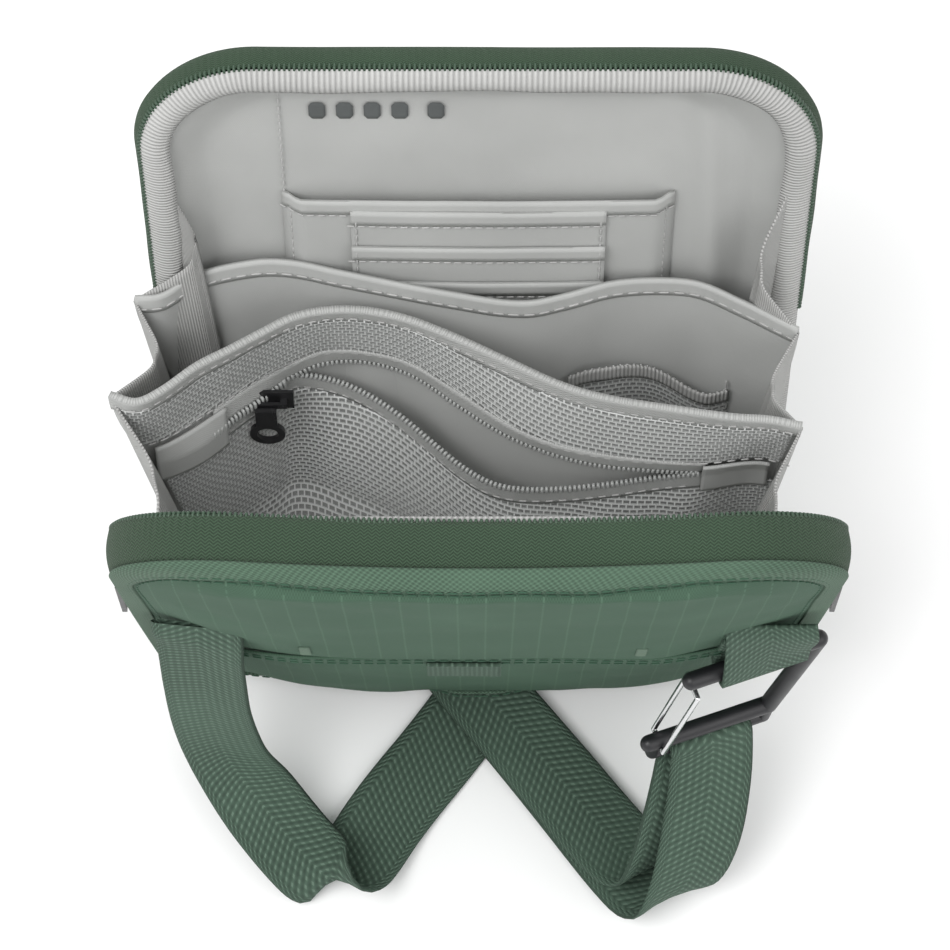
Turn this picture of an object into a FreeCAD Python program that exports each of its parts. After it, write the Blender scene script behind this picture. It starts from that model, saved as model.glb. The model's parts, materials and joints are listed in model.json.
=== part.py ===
"""Neck pouch wallet: two zipped halves, an accordion of dividers, a webbing neck strap and its hook.

X runs across the pouch, Y away from its front, Z up. The pouch stands open on its base, and each
leaf is built upright and then leaned about its own hinge line. Units are millimetres and degrees.
"""
import FreeCAD
import Part
import math
import os

from FreeCAD import Vector

# ---- driving dimensions: the leaves -------------------------------------------------------
HALF_WIDTH = 163.0            # width of each zipped half
HALF_HEIGHT = 187.0           # top of each half above its hinge level
HALF_BOTTOM = 12.0            # lowest edge of each half before it leans
TOP_RADIUS = 30.0             # rounded top corners
BOTTOM_RADIUS = 26.0          # rounded bottom corners
DIVIDER_WIDTH = 173.0         # the dividers reach past the halves to the gusset folds
DIVIDER_HEIGHT = 112.0
DIVIDER_BOTTOM = 10.0
DIVIDER_RADIUS = 18.0
ZIP_END = 100.0               # the main zip runs down each side to this height
TAPE_WALL = 1.0
BINDING_WALL = 0.9
WALL_GAP = 0.2                # between nested walls
CLOTH = 0.8
COIL_RADIUS = 1.1

# depth of the front half, from its zip outwards
FRONT_TAPE_DEPTH = 7.0
FRONT_TRIM_DEPTH = 3.0
FRONT_DEPTH = 18.2            # the outer face, from the zip
FRONT_LAYER = 1.0
STRAP_SLOT = 1.8              # gap between the two front layers, where the strap goes in
FRONT_SLOT_HEIGHT = 96.0      # lower edge of the upper layer
FRONT_FOAM = 2.0
FACE_TOP_INSET = 7.0          # how far the sloping sides draw in, at the face's top and foot
FACE_FOOT_INSET = 38.0
FACE_RADIUS = 32.0

# depth of the rear half
REAR_TAPE_DEPTH = 7.0
REAR_TRIM_DEPTH = 4.4
REAR_FOAM = 2.0
SHIELD_FILM = 0.3
PASSPORT_WIDTH = 100.0
PASSPORT_TOP = 137.0
PASSPORT_BOTTOM = 44.0
PASSPORT_SPACE = 3.4
CARD_WIDTH = 62.0
CARD_TOPS = (134.0, 122.0, 110.0)
CARD_BOTTOM = 62.0
CARD_STEP = 0.9
CARD_CLOTH = 0.5

# hinge lines: distance from the frame's centre, height, and lean (positive leans to the front)
FRONT_HINGE = (-24.0, 0.0, 8.5)
ZIP_DIVIDER_HINGE = (-11.0, 7.0, -11.3)
PEN_DIVIDER_HINGE = (-3.0, 7.0, -17.6)
REAR_HINGE = (5.0, 7.0, -17.0)

# base
BASE_FRONT = -40.0
BASE_REAR = 9.0
BASE_THICKNESS = 1.2
BASE_WIDTH = 156.0
TUNNEL_WIDTH = 104.0          # the straps pass under the raised middle of the base
TUNNEL_HEIGHT = 5.0
TUNNEL_SLOPE = 10.0

# mesh zip pocket on the front divider
MESH_ZIP_HEIGHT = 80.0
MESH_TAPE = 7.0
MESH_ZIP_LEFT = -62.0
MESH_ZIP_RIGHT = 56.0
POCKET_LEFT = -42.0
POCKET_RIGHT = 62.0
POCKET_DEPTH = 13.0
POCKET_WALL = 0.6
MESH_SLIDER_X = -52.0

# pen pocket on the rear divider
PEN_LEFT = 21.0
PEN_RIGHT = 61.0
PEN_BOTTOM = 30.0
PEN_TOP = 80.0
PEN_DEPTH = 2.4

# webbing and hook
WEBBING = 22.0
WEBBING_THICKNESS = 1.4
HOOK_CENTRE = Vector(67.7, -55.2, 87.0)
HOOK_YAW = 19.0
HOOK_TILT = -4.4
HOOK_BAR = 2.3
HOOK_TOP_BAR = (-17.0, 16.0)
HOOK_MID_BAR = (-27.0, 5.0)
HOOK_DROP = 36.0
STRAP_RAIL_DROP = 43.0
STRAP_RAIL_RADIUS = 1.8
GATE_WIRE = 0.7
GATE_SPREAD = 3.4
GATE_PIVOT = -24.5
GATE_TIP = 4.2
RUN_CLEARANCE = 0.4
LOOP_ALONG_BAR = 0.7
COIL_CENTRE = (0.0, 97.0)
COIL_OUTER = 43.0

# adjuster on the doubled strap
ADJUSTER_CENTRE = (-24.0, 27.0)
ADJUSTER_LENGTH = 12.0
ADJUSTER_SIDE = 3.0
ADJUSTER_WALL = 1.1
ADJUSTER_WINDOW = 3.8         # two layers of webbing and room to slide

# each strap's route: a point, then the direction of the webbing's width there
LEFT_ROUTE = [
    ((-66, -51.5, 90.3), (0.947, -0.32, 0)),
    ((-66.4, -55.0, 84.5), (0.95, -0.31, 0)),
    ((-67, -60.5, 70), (0.97, -0.22, 0)),
    ((-67, -62, 50), (0.99, -0.10, 0)),
    ((-66, -63.5, 31), (0.99, 0.00, 0)),
    ((-62, -68, 18), (0.98, 0.15, 0)),
    ((-56, -77, 12.5), (0.96, 0.25, 0)),
    ((-50, -86, 12.0), (0.96, 0.29, 0)),
    ((-45, -92, 9.2), (0.92, 0.00, 0.36)),
    ((-39.5, -87, 5.6), (0.80, -0.56, 0.10)),
    ((-28, -73, 2.0), (0.765, -0.644, 0)),
    ((-8, -50, 0.75), (0.765, -0.644, 0)),
    ((8, -28, 0.75), (0.86, -0.50, 0)),
    ((17, -6, 1.0), (0.94, -0.34, 0)),
    ((22, 16, 2.6), (0.98, -0.20, 0)),
    ((25, 34, 6.8), (0.93, -0.20, 0.30)),
    ((31, 52, 11.4), (0.50, -0.20, 0.84)),
    ((41, 70, 12.0), (0, 0, 1)),
]
RIGHT_ROUTE = [
    ((-14, 52.2, 11.8), (0, 0, 1)),
    ((-20.5, 48.8, 10.6), (0.55, 0.1, 0.84)),
    ((-23.8, 42.5, 6.8), (0.92, 0.1, 0.4)),
    ((-24.4, 34.5, 4.0), (1, 0, 0)),
    ((-23.8, 20, 4.0), (1, 0.02, 0)),
    ((-22.6, 5, 4.0), (0.99, 0.10, 0)),
    ((-17, -12, 4.0), (0.95, 0.30, 0)),
    ((-6, -30, 4.0), (0.85, 0.52, 0)),
    ((7, -46, 4.0), (0.77, 0.64, 0)),
    ((22, -64, 4.0), (0.75, 0.66, 0)),
    ((34, -79, 4.2), (0.78, 0.62, 0)),
    ((43, -89, 7.8), (0.88, 0.44, -0.15)),
    ((48.5, -88, 17), (0.92, 0.36, -0.15)),
    ((52.5, -79, 28), (0.94, 0.33, -0.06)),
    ((55.6, -69, 36), (0.945, 0.326, 0)),
    ((57.5, -60.2, 41), (0.945, 0.326, 0)),
    ((57.4, -59.1, 46.8), (0.945, 0.326, 0)),
    ((58.3, -61.7, 46.9), (0.945, 0.326, 0)),
]
RETURN_ROUTE = [
    ((58.7, -62.8, 46.9), (0.945, 0.326, 0)),
    ((59.2, -64.3, 47.0), (0.945, 0.326, 0)),
    ((59.6, -65.8, 42), (0.945, 0.326, 0)),
    ((59.2, -74, 35), (0.945, 0.326, 0)),
    ((57.2, -86, 26), (0.94, 0.33, 0)),
    ((53.5, -95.5, 14), (0.92, 0.36, -0.1)),
    ((46.5, -96.5, 4.6), (0.88, 0.44, -0.1)),
    ((37, -84.5, 1.9), (0.78, 0.62, 0)),
    ((23, -66, 2.3), (0.75, 0.66, 0)),
    ((8, -47, 2.3), (0.77, 0.64, 0)),
    ((-5.6, -30.5, 2.3), (0.85, 0.52, 0)),
    ((-16.6, -12, 2.3), (0.95, 0.30, 0)),
    ((-22.2, 5, 2.3), (0.99, 0.10, 0)),
    ((-23.6, 20, 2.3), (1, 0.02, 0)),
    ((-24.2, 32, 2.3), (1, 0, 0)),
]


# ---- helpers ----------------------------------------------------------------------------
def save(shape, node):
    """Write one node's solids, with slivers of edges removed."""
    shape.exportStep("parts/%s.step" % node)


def lean(shape, hinge):
    """Lean an upright shape about its hinge line."""
    y, z, angle = hinge
    leaned = shape.copy()
    leaned.translate(Vector(0, y, 0))
    leaned.rotate(Vector(0, y, z), Vector(1, 0, 0), angle)
    return leaned


def rounded_outline(corners):
    """A closed outline in the XZ plane from (x, z, radius) corners, as a wire."""
    edges, firsts, lasts = [], [], []
    count = len(corners)
    for index, (x, z, radius) in enumerate(corners):
        before, after = corners[index - 1], corners[(index + 1) % count]
        corner = Vector(x, 0, z)
        arriving = (corner - Vector(before[0], 0, before[1])).normalize()
        leaving = (Vector(after[0], 0, after[1]) - corner).normalize()
        half_turn = arriving.getAngle(leaving) / 2
        cut = radius * math.tan(half_turn)
        inward = (leaving - arriving).normalize()
        first, last = corner - arriving * cut, corner + leaving * cut
        middle = corner + inward * (radius / math.cos(half_turn) - radius)
        edges.append(Part.Arc(first, middle, last).toShape())
        firsts.append(first)
        lasts.append(last)
    joined = []
    for index, arc in enumerate(edges):
        joined += [arc, Part.LineSegment(lasts[index], firsts[(index + 1) % count]).toShape()]
    return Part.Wire(joined)


def outline(width, low, high, low_radius, high_radius):
    """A rounded rectangle in the XZ plane, as a face."""
    half = width / 2
    return Part.Face(rounded_outline([(-half, low, low_radius), (half, low, low_radius),
                                      (half, high, high_radius), (-half, high, high_radius)]))


def slab(face, near, far):
    """A face in the XZ plane thickened from one depth to another."""
    solid = face.extrude(Vector(0, far - near, 0))
    solid.translate(Vector(0, near, 0))
    return solid


def block(x0, x1, y0, y1, z0, z1):
    return Part.makeBox(x1 - x0, y1 - y0, z1 - z0, Vector(x0, y0, z0))


def half_outline(inset):
    """The outline of a zipped half, moved inwards by an inset."""
    return outline(HALF_WIDTH - 2 * inset, HALF_BOTTOM + inset, HALF_HEIGHT - inset,
                   BOTTOM_RADIUS - inset, TOP_RADIUS - inset)


def half_ring(inset, wall, near, far, low=0.0):
    """A wall that follows a half's outline, left open below a height."""
    ring = slab(half_outline(inset), near, far).cut(slab(half_outline(inset + wall), near, far))
    if low > 0:
        ring = ring.cut(block(-HALF_WIDTH, HALF_WIDTH, near - 1, far + 1, -1, low))
    return ring


def half_coil(depth):
    """The zip's coil along a half's rim, as a round cord."""
    half, top = HALF_WIDTH / 2 - TAPE_WALL / 2, HALF_HEIGHT - TAPE_WALL / 2
    radius = TOP_RADIUS - TAPE_WALL / 2
    diagonal = radius * (1 - math.sqrt(0.5))
    a, b = Vector(-half, depth, ZIP_END), Vector(-half, depth, top - radius)
    c, d = Vector(-half + radius, depth, top), Vector(half - radius, depth, top)
    e, f = Vector(half, depth, top - radius), Vector(half, depth, ZIP_END)
    left = Vector(-half + diagonal, depth, top - diagonal)
    right = Vector(half - diagonal, depth, top - diagonal)
    path = Part.Wire([Part.LineSegment(a, b).toShape(), Part.Arc(b, left, c).toShape(),
                      Part.LineSegment(c, d).toShape(), Part.Arc(d, right, e).toShape(),
                      Part.LineSegment(e, f).toShape()])
    section = Part.Wire(Part.makeCircle(COIL_RADIUS, a, Vector(0, 0, 1)))
    return path.makePipeShell([section], True, False)


def pocket_shell(x0, x1, z0, z1, front, back, wall):
    """A flat pocket: a front sheet with side and bottom seams, open at its top and back."""
    outer = block(x0, x1, front, back, z0, z1)
    return outer.cut(block(x0 + 1, x1 - 1, front + wall, back + 1, z0 + 1, z1 + 1))


def rod(start, end, radius):
    return Part.makeCylinder(radius, (end - start).Length, start, end - start)


def capsule(start, end, radius):
    """A rod with round ends."""
    return rod(start, end, radius).fuse([Part.makeSphere(radius, start),
                                         Part.makeSphere(radius, end)]).removeSplitter()


# ---- front half -------------------------------------------------------------------------
def half_corners(inset):
    half = HALF_WIDTH / 2 - inset
    low, high = HALF_BOTTOM + inset, HALF_HEIGHT - inset
    low_radius, high_radius = BOTTOM_RADIUS - inset, TOP_RADIUS - inset
    return [(-half, low, low_radius), (half, low, low_radius),
            (half, high, high_radius), (-half, high, high_radius)]


def face_corners(inset):
    """The face's corners: narrower than the zip line, and more so at its foot."""
    foot = HALF_WIDTH / 2 - FACE_FOOT_INSET - inset
    top = HALF_WIDTH / 2 - FACE_TOP_INSET - inset
    low, high, radius = HALF_BOTTOM + inset, HALF_HEIGHT - 1.5 - inset, FACE_RADIUS - inset
    return [(-foot, low, radius), (foot, low, radius),
            (top, high, TOP_RADIUS - inset), (-top, high, TOP_RADIUS - inset)]


def domed(rim, face, inset):
    """A solid from the zip outline at the rim's depth to the face outline at the face's depth."""
    back = rounded_outline(half_corners(inset))
    front = rounded_outline(face_corners(inset))
    back.translate(Vector(0, rim, 0))
    front.translate(Vector(0, face, 0))
    return Part.makeLoft([back, front], True, True)


def tray(rim, face, inset, wall):
    """A domed shell, open towards the zip."""
    hollow = domed(rim, face + wall, inset + wall)
    mouth = slab(Part.Face(rounded_outline(half_corners(inset + wall))), rim - 0.01, rim + 1)
    return domed(rim, face, inset).cut(hollow.fuse(mouth))


def front_half():
    """The front half: tape, trim, two outer layers, foam and lining, all upright."""
    trim_end = -FRONT_TAPE_DEPTH - FRONT_TRIM_DEPTH
    rim = trim_end - 0.1
    upper_face = -FRONT_DEPTH
    lower_face = upper_face + FRONT_LAYER + STRAP_SLOT
    lower_inset = FRONT_LAYER + STRAP_SLOT
    upper = tray(rim, upper_face, 0, FRONT_LAYER)
    upper = upper.cut(block(-100, 100, -100, 100, -1, FRONT_SLOT_HEIGHT))
    foam_front = lower_face + FRONT_LAYER + 0.1
    foam_back = foam_front + FRONT_FOAM
    lining = Part.Face(rounded_outline(face_corners(lower_inset + 2.0)))
    foam = Part.Face(rounded_outline(face_corners(lower_inset + 3.0)))
    tacks = [block(x - 0.8, x + 0.8, upper_face - 0.6, upper_face, 99, 105)
             for x in (-43.0, 41.0)]
    tab = block(-9, 9, upper_face - 1.0, upper_face - 0.1, 78, 96)
    tab = tab.fuse(block(-9, 9, upper_face - 1.0, upper_face + 0.7, 78, 80)).removeSplitter()
    return {
        "front_lower_panel": tray(rim, lower_face, lower_inset, FRONT_LAYER),
        "front_upper_layer": upper,
        "front_trim_band": half_ring(0, TAPE_WALL, trim_end, -FRONT_TAPE_DEPTH - 0.1),
        "front_zip_tape": half_ring(0, TAPE_WALL, -FRONT_TAPE_DEPTH, -COIL_RADIUS + 0.3, ZIP_END),
        "front_zip_coil": half_coil(0.5),
        "front_edge_binding": half_ring(TAPE_WALL + WALL_GAP, BINDING_WALL, -9.6, -4.0),
        "front_foam": slab(foam, foam_front, foam_back),
        "front_lining": slab(lining, foam_back + 0.1, foam_back + 0.6),
        "front_bar_tacks": Part.makeCompound(tacks),
        "front_pull_tab": tab,
    }


# ---- rear half --------------------------------------------------------------------------
def rear_half():
    """The rear half: tape, trim, outer panel, foam, film, lining and the flat pockets."""
    trim_end = REAR_TAPE_DEPTH + REAR_TRIM_DEPTH
    foam_front = trim_end - 0.1 - REAR_FOAM
    film_front = foam_front - 0.1 - SHIELD_FILM
    lining_front = film_front - 0.1 - 0.5
    pocket_front = lining_front - 0.1 - PASSPORT_SPACE - CARD_CLOTH
    nodes = {
        "rear_outer_panel": slab(half_outline(0), trim_end, trim_end + FRONT_LAYER),
        "rear_trim_band": half_ring(0, TAPE_WALL, REAR_TAPE_DEPTH + 0.1, trim_end),
        "rear_zip_tape": half_ring(0, TAPE_WALL, COIL_RADIUS - 0.3, REAR_TAPE_DEPTH, ZIP_END),
        "rear_zip_coil": half_coil(-0.5),
        "rear_edge_binding": half_ring(TAPE_WALL + WALL_GAP, BINDING_WALL, 2.0, lining_front - 0.1),
        "rear_foam": slab(half_outline(4.0), foam_front, trim_end - 0.1),
        "shielding_film": slab(half_outline(4.0), film_front, film_front + SHIELD_FILM),
        "rear_lining": slab(half_outline(TAPE_WALL + WALL_GAP), lining_front, lining_front + 0.5),
        "passport_pocket": pocket_shell(-PASSPORT_WIDTH / 2, PASSPORT_WIDTH / 2, PASSPORT_BOTTOM,
                                        PASSPORT_TOP, pocket_front, lining_front - 0.1,
                                        CARD_CLOTH),
    }
    for number, top in enumerate(CARD_TOPS, start=1):
        front = pocket_front - CARD_STEP * number
        tier = block(-CARD_WIDTH / 2, CARD_WIDTH / 2, front, front + CARD_CLOTH, CARD_BOTTOM, top)
        nodes["card_tier_%d" % number] = tier
    return nodes


# ---- dividers ---------------------------------------------------------------------------
def divider_outline(inset, top):
    return outline(DIVIDER_WIDTH - 2 * inset, DIVIDER_BOTTOM, top, DIVIDER_RADIUS, 2.0)


def pen_divider():
    """The rear divider and its mesh pen pocket."""
    front = -CLOTH / 2
    return {
        "pen_divider_cloth": slab(divider_outline(0, DIVIDER_HEIGHT), front, -front),
        "pen_divider_hem": block(-84, 84, front - 0.7, front - 0.1, DIVIDER_HEIGHT - 6,
                                 DIVIDER_HEIGHT - 0.5),
        "pen_pocket_mesh": pocket_shell(PEN_LEFT, PEN_RIGHT, PEN_BOTTOM, PEN_TOP,
                                        front - PEN_DEPTH, front - 0.1, CARD_CLOTH),
        "pen_pocket_binding": block(PEN_LEFT, PEN_RIGHT, front - PEN_DEPTH - 0.7,
                                    front - PEN_DEPTH - 0.1, PEN_TOP - 4, PEN_TOP),
    }


def mesh_pocket():
    """The mesh pocket's bulging panel, closed at its ends and open along the zip."""
    back = -0.3
    deep = -POCKET_DEPTH
    mouth = MESH_ZIP_HEIGHT - MESH_TAPE
    outer = [(back, 12), (deep * 0.55, 18), (deep, 42), (deep, mouth), (back, mouth)]
    inner = [(back, 12 + 2 * POCKET_WALL), (deep * 0.55 + POCKET_WALL, 18 + POCKET_WALL),
             (deep + POCKET_WALL, 42), (deep + POCKET_WALL, mouth + 1), (back, mouth + 1)]

    def prism(points, x0, x1):
        corners = [Vector(x0, y, z) for y, z in points]
        return Part.Face(Part.makePolygon(corners + corners[:1])).extrude(Vector(x1 - x0, 0, 0))

    return prism(outer, POCKET_LEFT, POCKET_RIGHT).cut(
        prism(inner, POCKET_LEFT + POCKET_WALL, POCKET_RIGHT - POCKET_WALL))


def zip_divider():
    """The front divider: back cloth, mesh band, zip, pocket and end tabs."""
    back = -0.3
    tape = back - 0.6
    zip_top = MESH_ZIP_HEIGHT + MESH_TAPE
    mouth = MESH_ZIP_HEIGHT - MESH_TAPE
    upper_coil = rod(Vector(MESH_ZIP_LEFT, tape - 0.2, MESH_ZIP_HEIGHT - 0.6),
                     Vector(MESH_ZIP_RIGHT, tape - 0.2, MESH_ZIP_HEIGHT - 0.6), 0.6)
    lower_coil = rod(Vector(POCKET_LEFT, -POCKET_DEPTH - 0.2, MESH_ZIP_HEIGHT - 0.4),
                     Vector(MESH_ZIP_RIGHT, -POCKET_DEPTH - 0.2, MESH_ZIP_HEIGHT - 0.4), 0.6)
    tabs = [block(MESH_ZIP_LEFT - 14, MESH_ZIP_LEFT - 0.5, tape, back, mouth, zip_top),
            block(MESH_ZIP_RIGHT + 0.5, MESH_ZIP_RIGHT + 14, tape, back, mouth + 1, zip_top)]
    return {
        "zip_divider_cloth": slab(divider_outline(0, DIVIDER_HEIGHT - 4), 0, CLOTH),
        "zip_divider_binding": block(-84, 84, -1.2, CLOTH + 0.4, DIVIDER_HEIGHT - 3.9,
                                     DIVIDER_HEIGHT),
        "upper_mesh_band": block(-80, 80, tape, back, zip_top + 0.1, DIVIDER_HEIGHT - 4),
        "mesh_zip_upper_tape": block(MESH_ZIP_LEFT, MESH_ZIP_RIGHT, tape, back,
                                     MESH_ZIP_HEIGHT + 0.1, zip_top),
        "mesh_zip_lower_tape": block(POCKET_LEFT, MESH_ZIP_RIGHT, -POCKET_DEPTH,
                                     -POCKET_DEPTH + 0.5, mouth + 0.1, MESH_ZIP_HEIGHT - 1.1),
        "mesh_zip_coils": Part.makeCompound([upper_coil, lower_coil]),
        "mesh_pocket_panel": mesh_pocket(),
        "zip_end_tabs": Part.makeCompound(tabs),
    }


# ---- sliders and pullers ----------------------------------------------------------------
def slider_body(length, width, height, slot):
    """A zip slider lying along X: two plates, a post between them and a bridge on top."""
    body = block(-length / 2, length / 2, -height / 2, height / 2, -width / 2, width / 2)
    for side in (-1, 1):
        channel = block(-length, length, -slot, slot, 0, width)
        channel.translate(Vector(0, 0, 0.8 if side > 0 else -width - 0.8))
        body = body.cut(channel)
    bridge = block(-length * 0.35, length * 0.35, -height / 2 - 2.0, -height / 2, -0.9, 0.9)
    eye = block(-length * 0.2, length * 0.2, -height / 2 - 1.1, -height / 2, -2, 2)
    return body.fuse(bridge.cut(eye)).removeSplitter()


def ring_puller(length, width, thickness, depth):
    """A flat puller hanging down from the origin, with a round window at its lower end."""
    radius = width / 2
    plate = Part.makeCylinder(radius, thickness, Vector(0, depth, -length + radius),
                              Vector(0, -1, 0))
    neck = block(-width * 0.3, width * 0.3, depth - thickness, depth, -length + radius, 0)
    window = Part.makeCylinder(radius * 0.6, thickness * 3,
                               Vector(0, depth + thickness, -length + radius), Vector(0, -1, 0))
    return plate.fuse(neck).removeSplitter().cut(window)


def mesh_slider():
    """The mesh pocket's slider, which rides on the upper coil, and its puller."""
    x, z = MESH_SLIDER_X, MESH_ZIP_HEIGHT - 0.6
    y = -0.3 - 0.6 - 0.2
    body = slider_body(11.0, 7.0, 3.6, 0.9)
    body.translate(Vector(x, y - 1.0, z))
    body = body.cut(block(x - 9, x + 9, -1.3, 5, z - 5, z + 12))
    body = body.cut(rod(Vector(x - 9, y, z), Vector(x + 9, y, z), 0.6 + RUN_CLEARANCE))
    puller = ring_puller(15.0, 9.0, 1.2, y - 1.0 - 1.8 - 2.4)
    puller.translate(Vector(x - 1.5, 0, z))
    return {"mesh_zip_slider": body, "mesh_zip_puller": puller}


def main_slider(side):
    """A main zip slider parked at the foot of the front half's side, and its puller."""
    x = side * (HALF_WIDTH / 2 - TAPE_WALL / 2)
    z = ZIP_END + 7.0
    shell = block(-2.6, 2.6, -2.9, 3.3, -5.5, 5.5)
    clear = COIL_RADIUS + RUN_CLEARANCE
    shell = shell.cut(block(-clear, clear, 0.5 - clear, 0.5 + clear, -9, 9))
    shell = shell.cut(block(-0.9, 0.9, -6, 0.5, -9, 9))
    lug = block(2.6, 4.4, -1.0, 1.0, -2.5, 2.5) if side > 0 else block(-4.4, -2.6, -1, 1, -2.5, 2.5)
    body = shell.fuse(lug).removeSplitter()
    body.translate(Vector(x, 0, z))
    puller = block(-0.6, 0.6, -3.0, 3.0, -20.0, -1.0)
    puller = puller.cut(Part.makeCylinder(1.8, 6, Vector(-3, 0, -15.5), Vector(1, 0, 0)))
    puller.rotate(Vector(0, 0, 0), Vector(1, 0, 0), -FRONT_HINGE[2])
    puller.translate(Vector(x + side * 5.4, 0, z))
    name = "right" if side > 0 else "left"
    return {name + "_zip_slider": body, name + "_zip_puller": puller}


# ---- gussets and base -------------------------------------------------------------------
def leaned_point(x, y, z, hinge):
    hinge_y, hinge_z, angle = hinge
    turn = math.radians(angle)
    dy, dz = y, z - hinge_z
    return Vector(x, hinge_y + dy * math.cos(turn) - dz * math.sin(turn),
                  hinge_z + dy * math.sin(turn) + dz * math.cos(turn))


def gusset(side, front, rear, valley):
    """One pleat: a sheet from the front leaf's edge, in to a valley, and out to the rear leaf."""
    low, high = 26.0, 105.0
    (front_x, front_y, front_hinge), (rear_x, rear_y, rear_hinge) = front, rear
    points = []
    for z, spread in ((low, 0.88), (high, 1.0)):
        a = leaned_point(side * front_x * spread, front_y, z, front_hinge)
        c = leaned_point(side * rear_x * spread, rear_y, z, rear_hinge)
        b = (a + c) * 0.5
        b.x = side * valley * spread
        points.append((a, b, c))
    (a0, b0, c0), (a1, b1, c1) = points
    sheet = Vector(-side * 0.5, 0, 0)
    prisms = [Part.Face(Part.makePolygon([p, q, r, p])).extrude(sheet)
              for p, q, r in ((a0, a1, b1), (a0, b1, b0), (b0, b1, c1), (b0, c1, c0))]
    return prisms[0].fuse(prisms[1:]).removeSplitter()


def gussets():
    """Three pleats on each side, from the front half to the rear half."""
    nodes = {}
    front = (78.0, -2.0, FRONT_HINGE)
    rear = (78.0, 2.0, REAR_HINGE)
    for side, name in ((-1, "left"), (1, "right")):
        nodes["gusset_%s_front" % name] = gusset(
            side, front, (84.5, -1.2, ZIP_DIVIDER_HINGE), 76.0)
        nodes["gusset_%s_middle" % name] = gusset(
            side, (84.5, 1.6, ZIP_DIVIDER_HINGE), (84.5, -1.6, PEN_DIVIDER_HINGE), 76.5)
        nodes["gusset_%s_rear" % name] = gusset(
            side, (84.5, 0.9, PEN_DIVIDER_HINGE), rear, 66.0)
    return nodes


def base_panel():
    """The base: flat under each side, raised in the middle where the straps pass under it."""
    half, tunnel = BASE_WIDTH / 2, TUNNEL_WIDTH / 2
    rise = TUNNEL_HEIGHT
    low = [(-half, 0), (-tunnel - TUNNEL_SLOPE, 0), (-tunnel, rise), (tunnel, rise),
           (tunnel + TUNNEL_SLOPE, 0), (half, 0)]
    high = [(x, z + BASE_THICKNESS) for x, z in reversed(low)]
    corners = [Vector(x, BASE_FRONT, z) for x, z in low + high]
    face = Part.Face(Part.makePolygon(corners + corners[:1]))
    return face.extrude(Vector(0, BASE_REAR - BASE_FRONT, 0))


# ---- hook -------------------------------------------------------------------------------
def place_on_hook(shape):
    """Turn a shape from the hook's own frame (X along its bars, Z up) into the pouch's frame."""
    placed = shape.copy()
    placed.rotate(Vector(0, 0, 0), Vector(1, 0, 0), HOOK_TILT)
    placed.rotate(Vector(0, 0, 0), Vector(0, 0, 1), HOOK_YAW)
    placed.translate(HOOK_CENTRE)
    return placed


def hook_frame():
    """Top bar, slanted arm, middle bar and the rail that holds the strap."""
    top_left, top_right = Vector(HOOK_TOP_BAR[0], 0, 0), Vector(HOOK_TOP_BAR[1], 0, 0)
    mid_left = Vector(HOOK_MID_BAR[0], 0, -HOOK_DROP)
    mid_right = Vector(HOOK_MID_BAR[1], 0, -HOOK_DROP)
    rail_left = Vector(HOOK_MID_BAR[0] + 1, 0, -STRAP_RAIL_DROP)
    rail_right = Vector(HOOK_MID_BAR[1] - 1, 0, -STRAP_RAIL_DROP)
    bars = [capsule(top_left, top_right, HOOK_BAR), capsule(top_right, mid_right, HOOK_BAR),
            capsule(mid_left, mid_right, HOOK_BAR),
            capsule(mid_left, rail_left, STRAP_RAIL_RADIUS),
            capsule(rail_left, rail_right, STRAP_RAIL_RADIUS),
            capsule(rail_right, mid_right, STRAP_RAIL_RADIUS)]
    return bars[0].fuse(bars[1:]).removeSplitter()


def gate_wire():
    """The sprung wire gate: two legs beside the bars, joined under the top bar's end."""
    tip = Vector(HOOK_TOP_BAR[0] + 0.5, 0, -GATE_TIP)
    foot = Vector(GATE_PIVOT, 0, -HOOK_DROP)
    out = Vector(0, GATE_SPREAD, 0)
    legs = [capsule(foot + out, tip + out, GATE_WIRE), capsule(foot - out, tip - out, GATE_WIRE),
            capsule(tip + out, tip - out, GATE_WIRE)]
    stubs = [rod(foot + out, foot + Vector(0, HOOK_BAR + 0.2, 0), GATE_WIRE),
             rod(foot - out, foot - Vector(0, HOOK_BAR + 0.2, 0), GATE_WIRE)]
    return legs[0].fuse(legs[1:] + stubs).removeSplitter()


def short_loop():
    """The webbing loop that holds the hook: a ring round the top bar and a tail in the slot."""
    inner = HOOK_BAR + RUN_CLEARANCE
    outer = inner + WEBBING_THICKNESS
    left = LOOP_ALONG_BAR - WEBBING / 2
    right = left + WEBBING
    wall = Part.makeCylinder(outer, right - left, Vector(left, 0, 0), Vector(1, 0, 0))
    wall = wall.cut(Part.makeCylinder(inner, 2 * WEBBING, Vector(-WEBBING, 0, 0), Vector(1, 0, 0)))
    rim = -FRONT_TAPE_DEPTH - FRONT_TRIM_DEPTH - 0.1
    under = FRONT_LAYER + 0.2
    backing = domed(rim, STRAP_SLOT + FRONT_LAYER - FRONT_DEPTH - 0.2,
                    STRAP_SLOT + FRONT_LAYER - 0.2)
    low, high = HOOK_CENTRE.x - WEBBING / 2, HOOK_CENTRE.x + WEBBING / 2
    tail = domed(rim, under - FRONT_DEPTH, under).cut(backing)
    tail = tail.common(block(low, high, -40, 0, FRONT_SLOT_HEIGHT - 1, FRONT_SLOT_HEIGHT + 10))
    pad = domed(rim, -FRONT_DEPTH - 0.4, 0).cut(backing)
    pad = pad.common(block(low, high, -40, 0, FRONT_SLOT_HEIGHT - 7, FRONT_SLOT_HEIGHT - 0.3))
    return place_on_hook(wall).fuse(lean(tail.fuse(pad), FRONT_HINGE)).removeSplitter()


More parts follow.
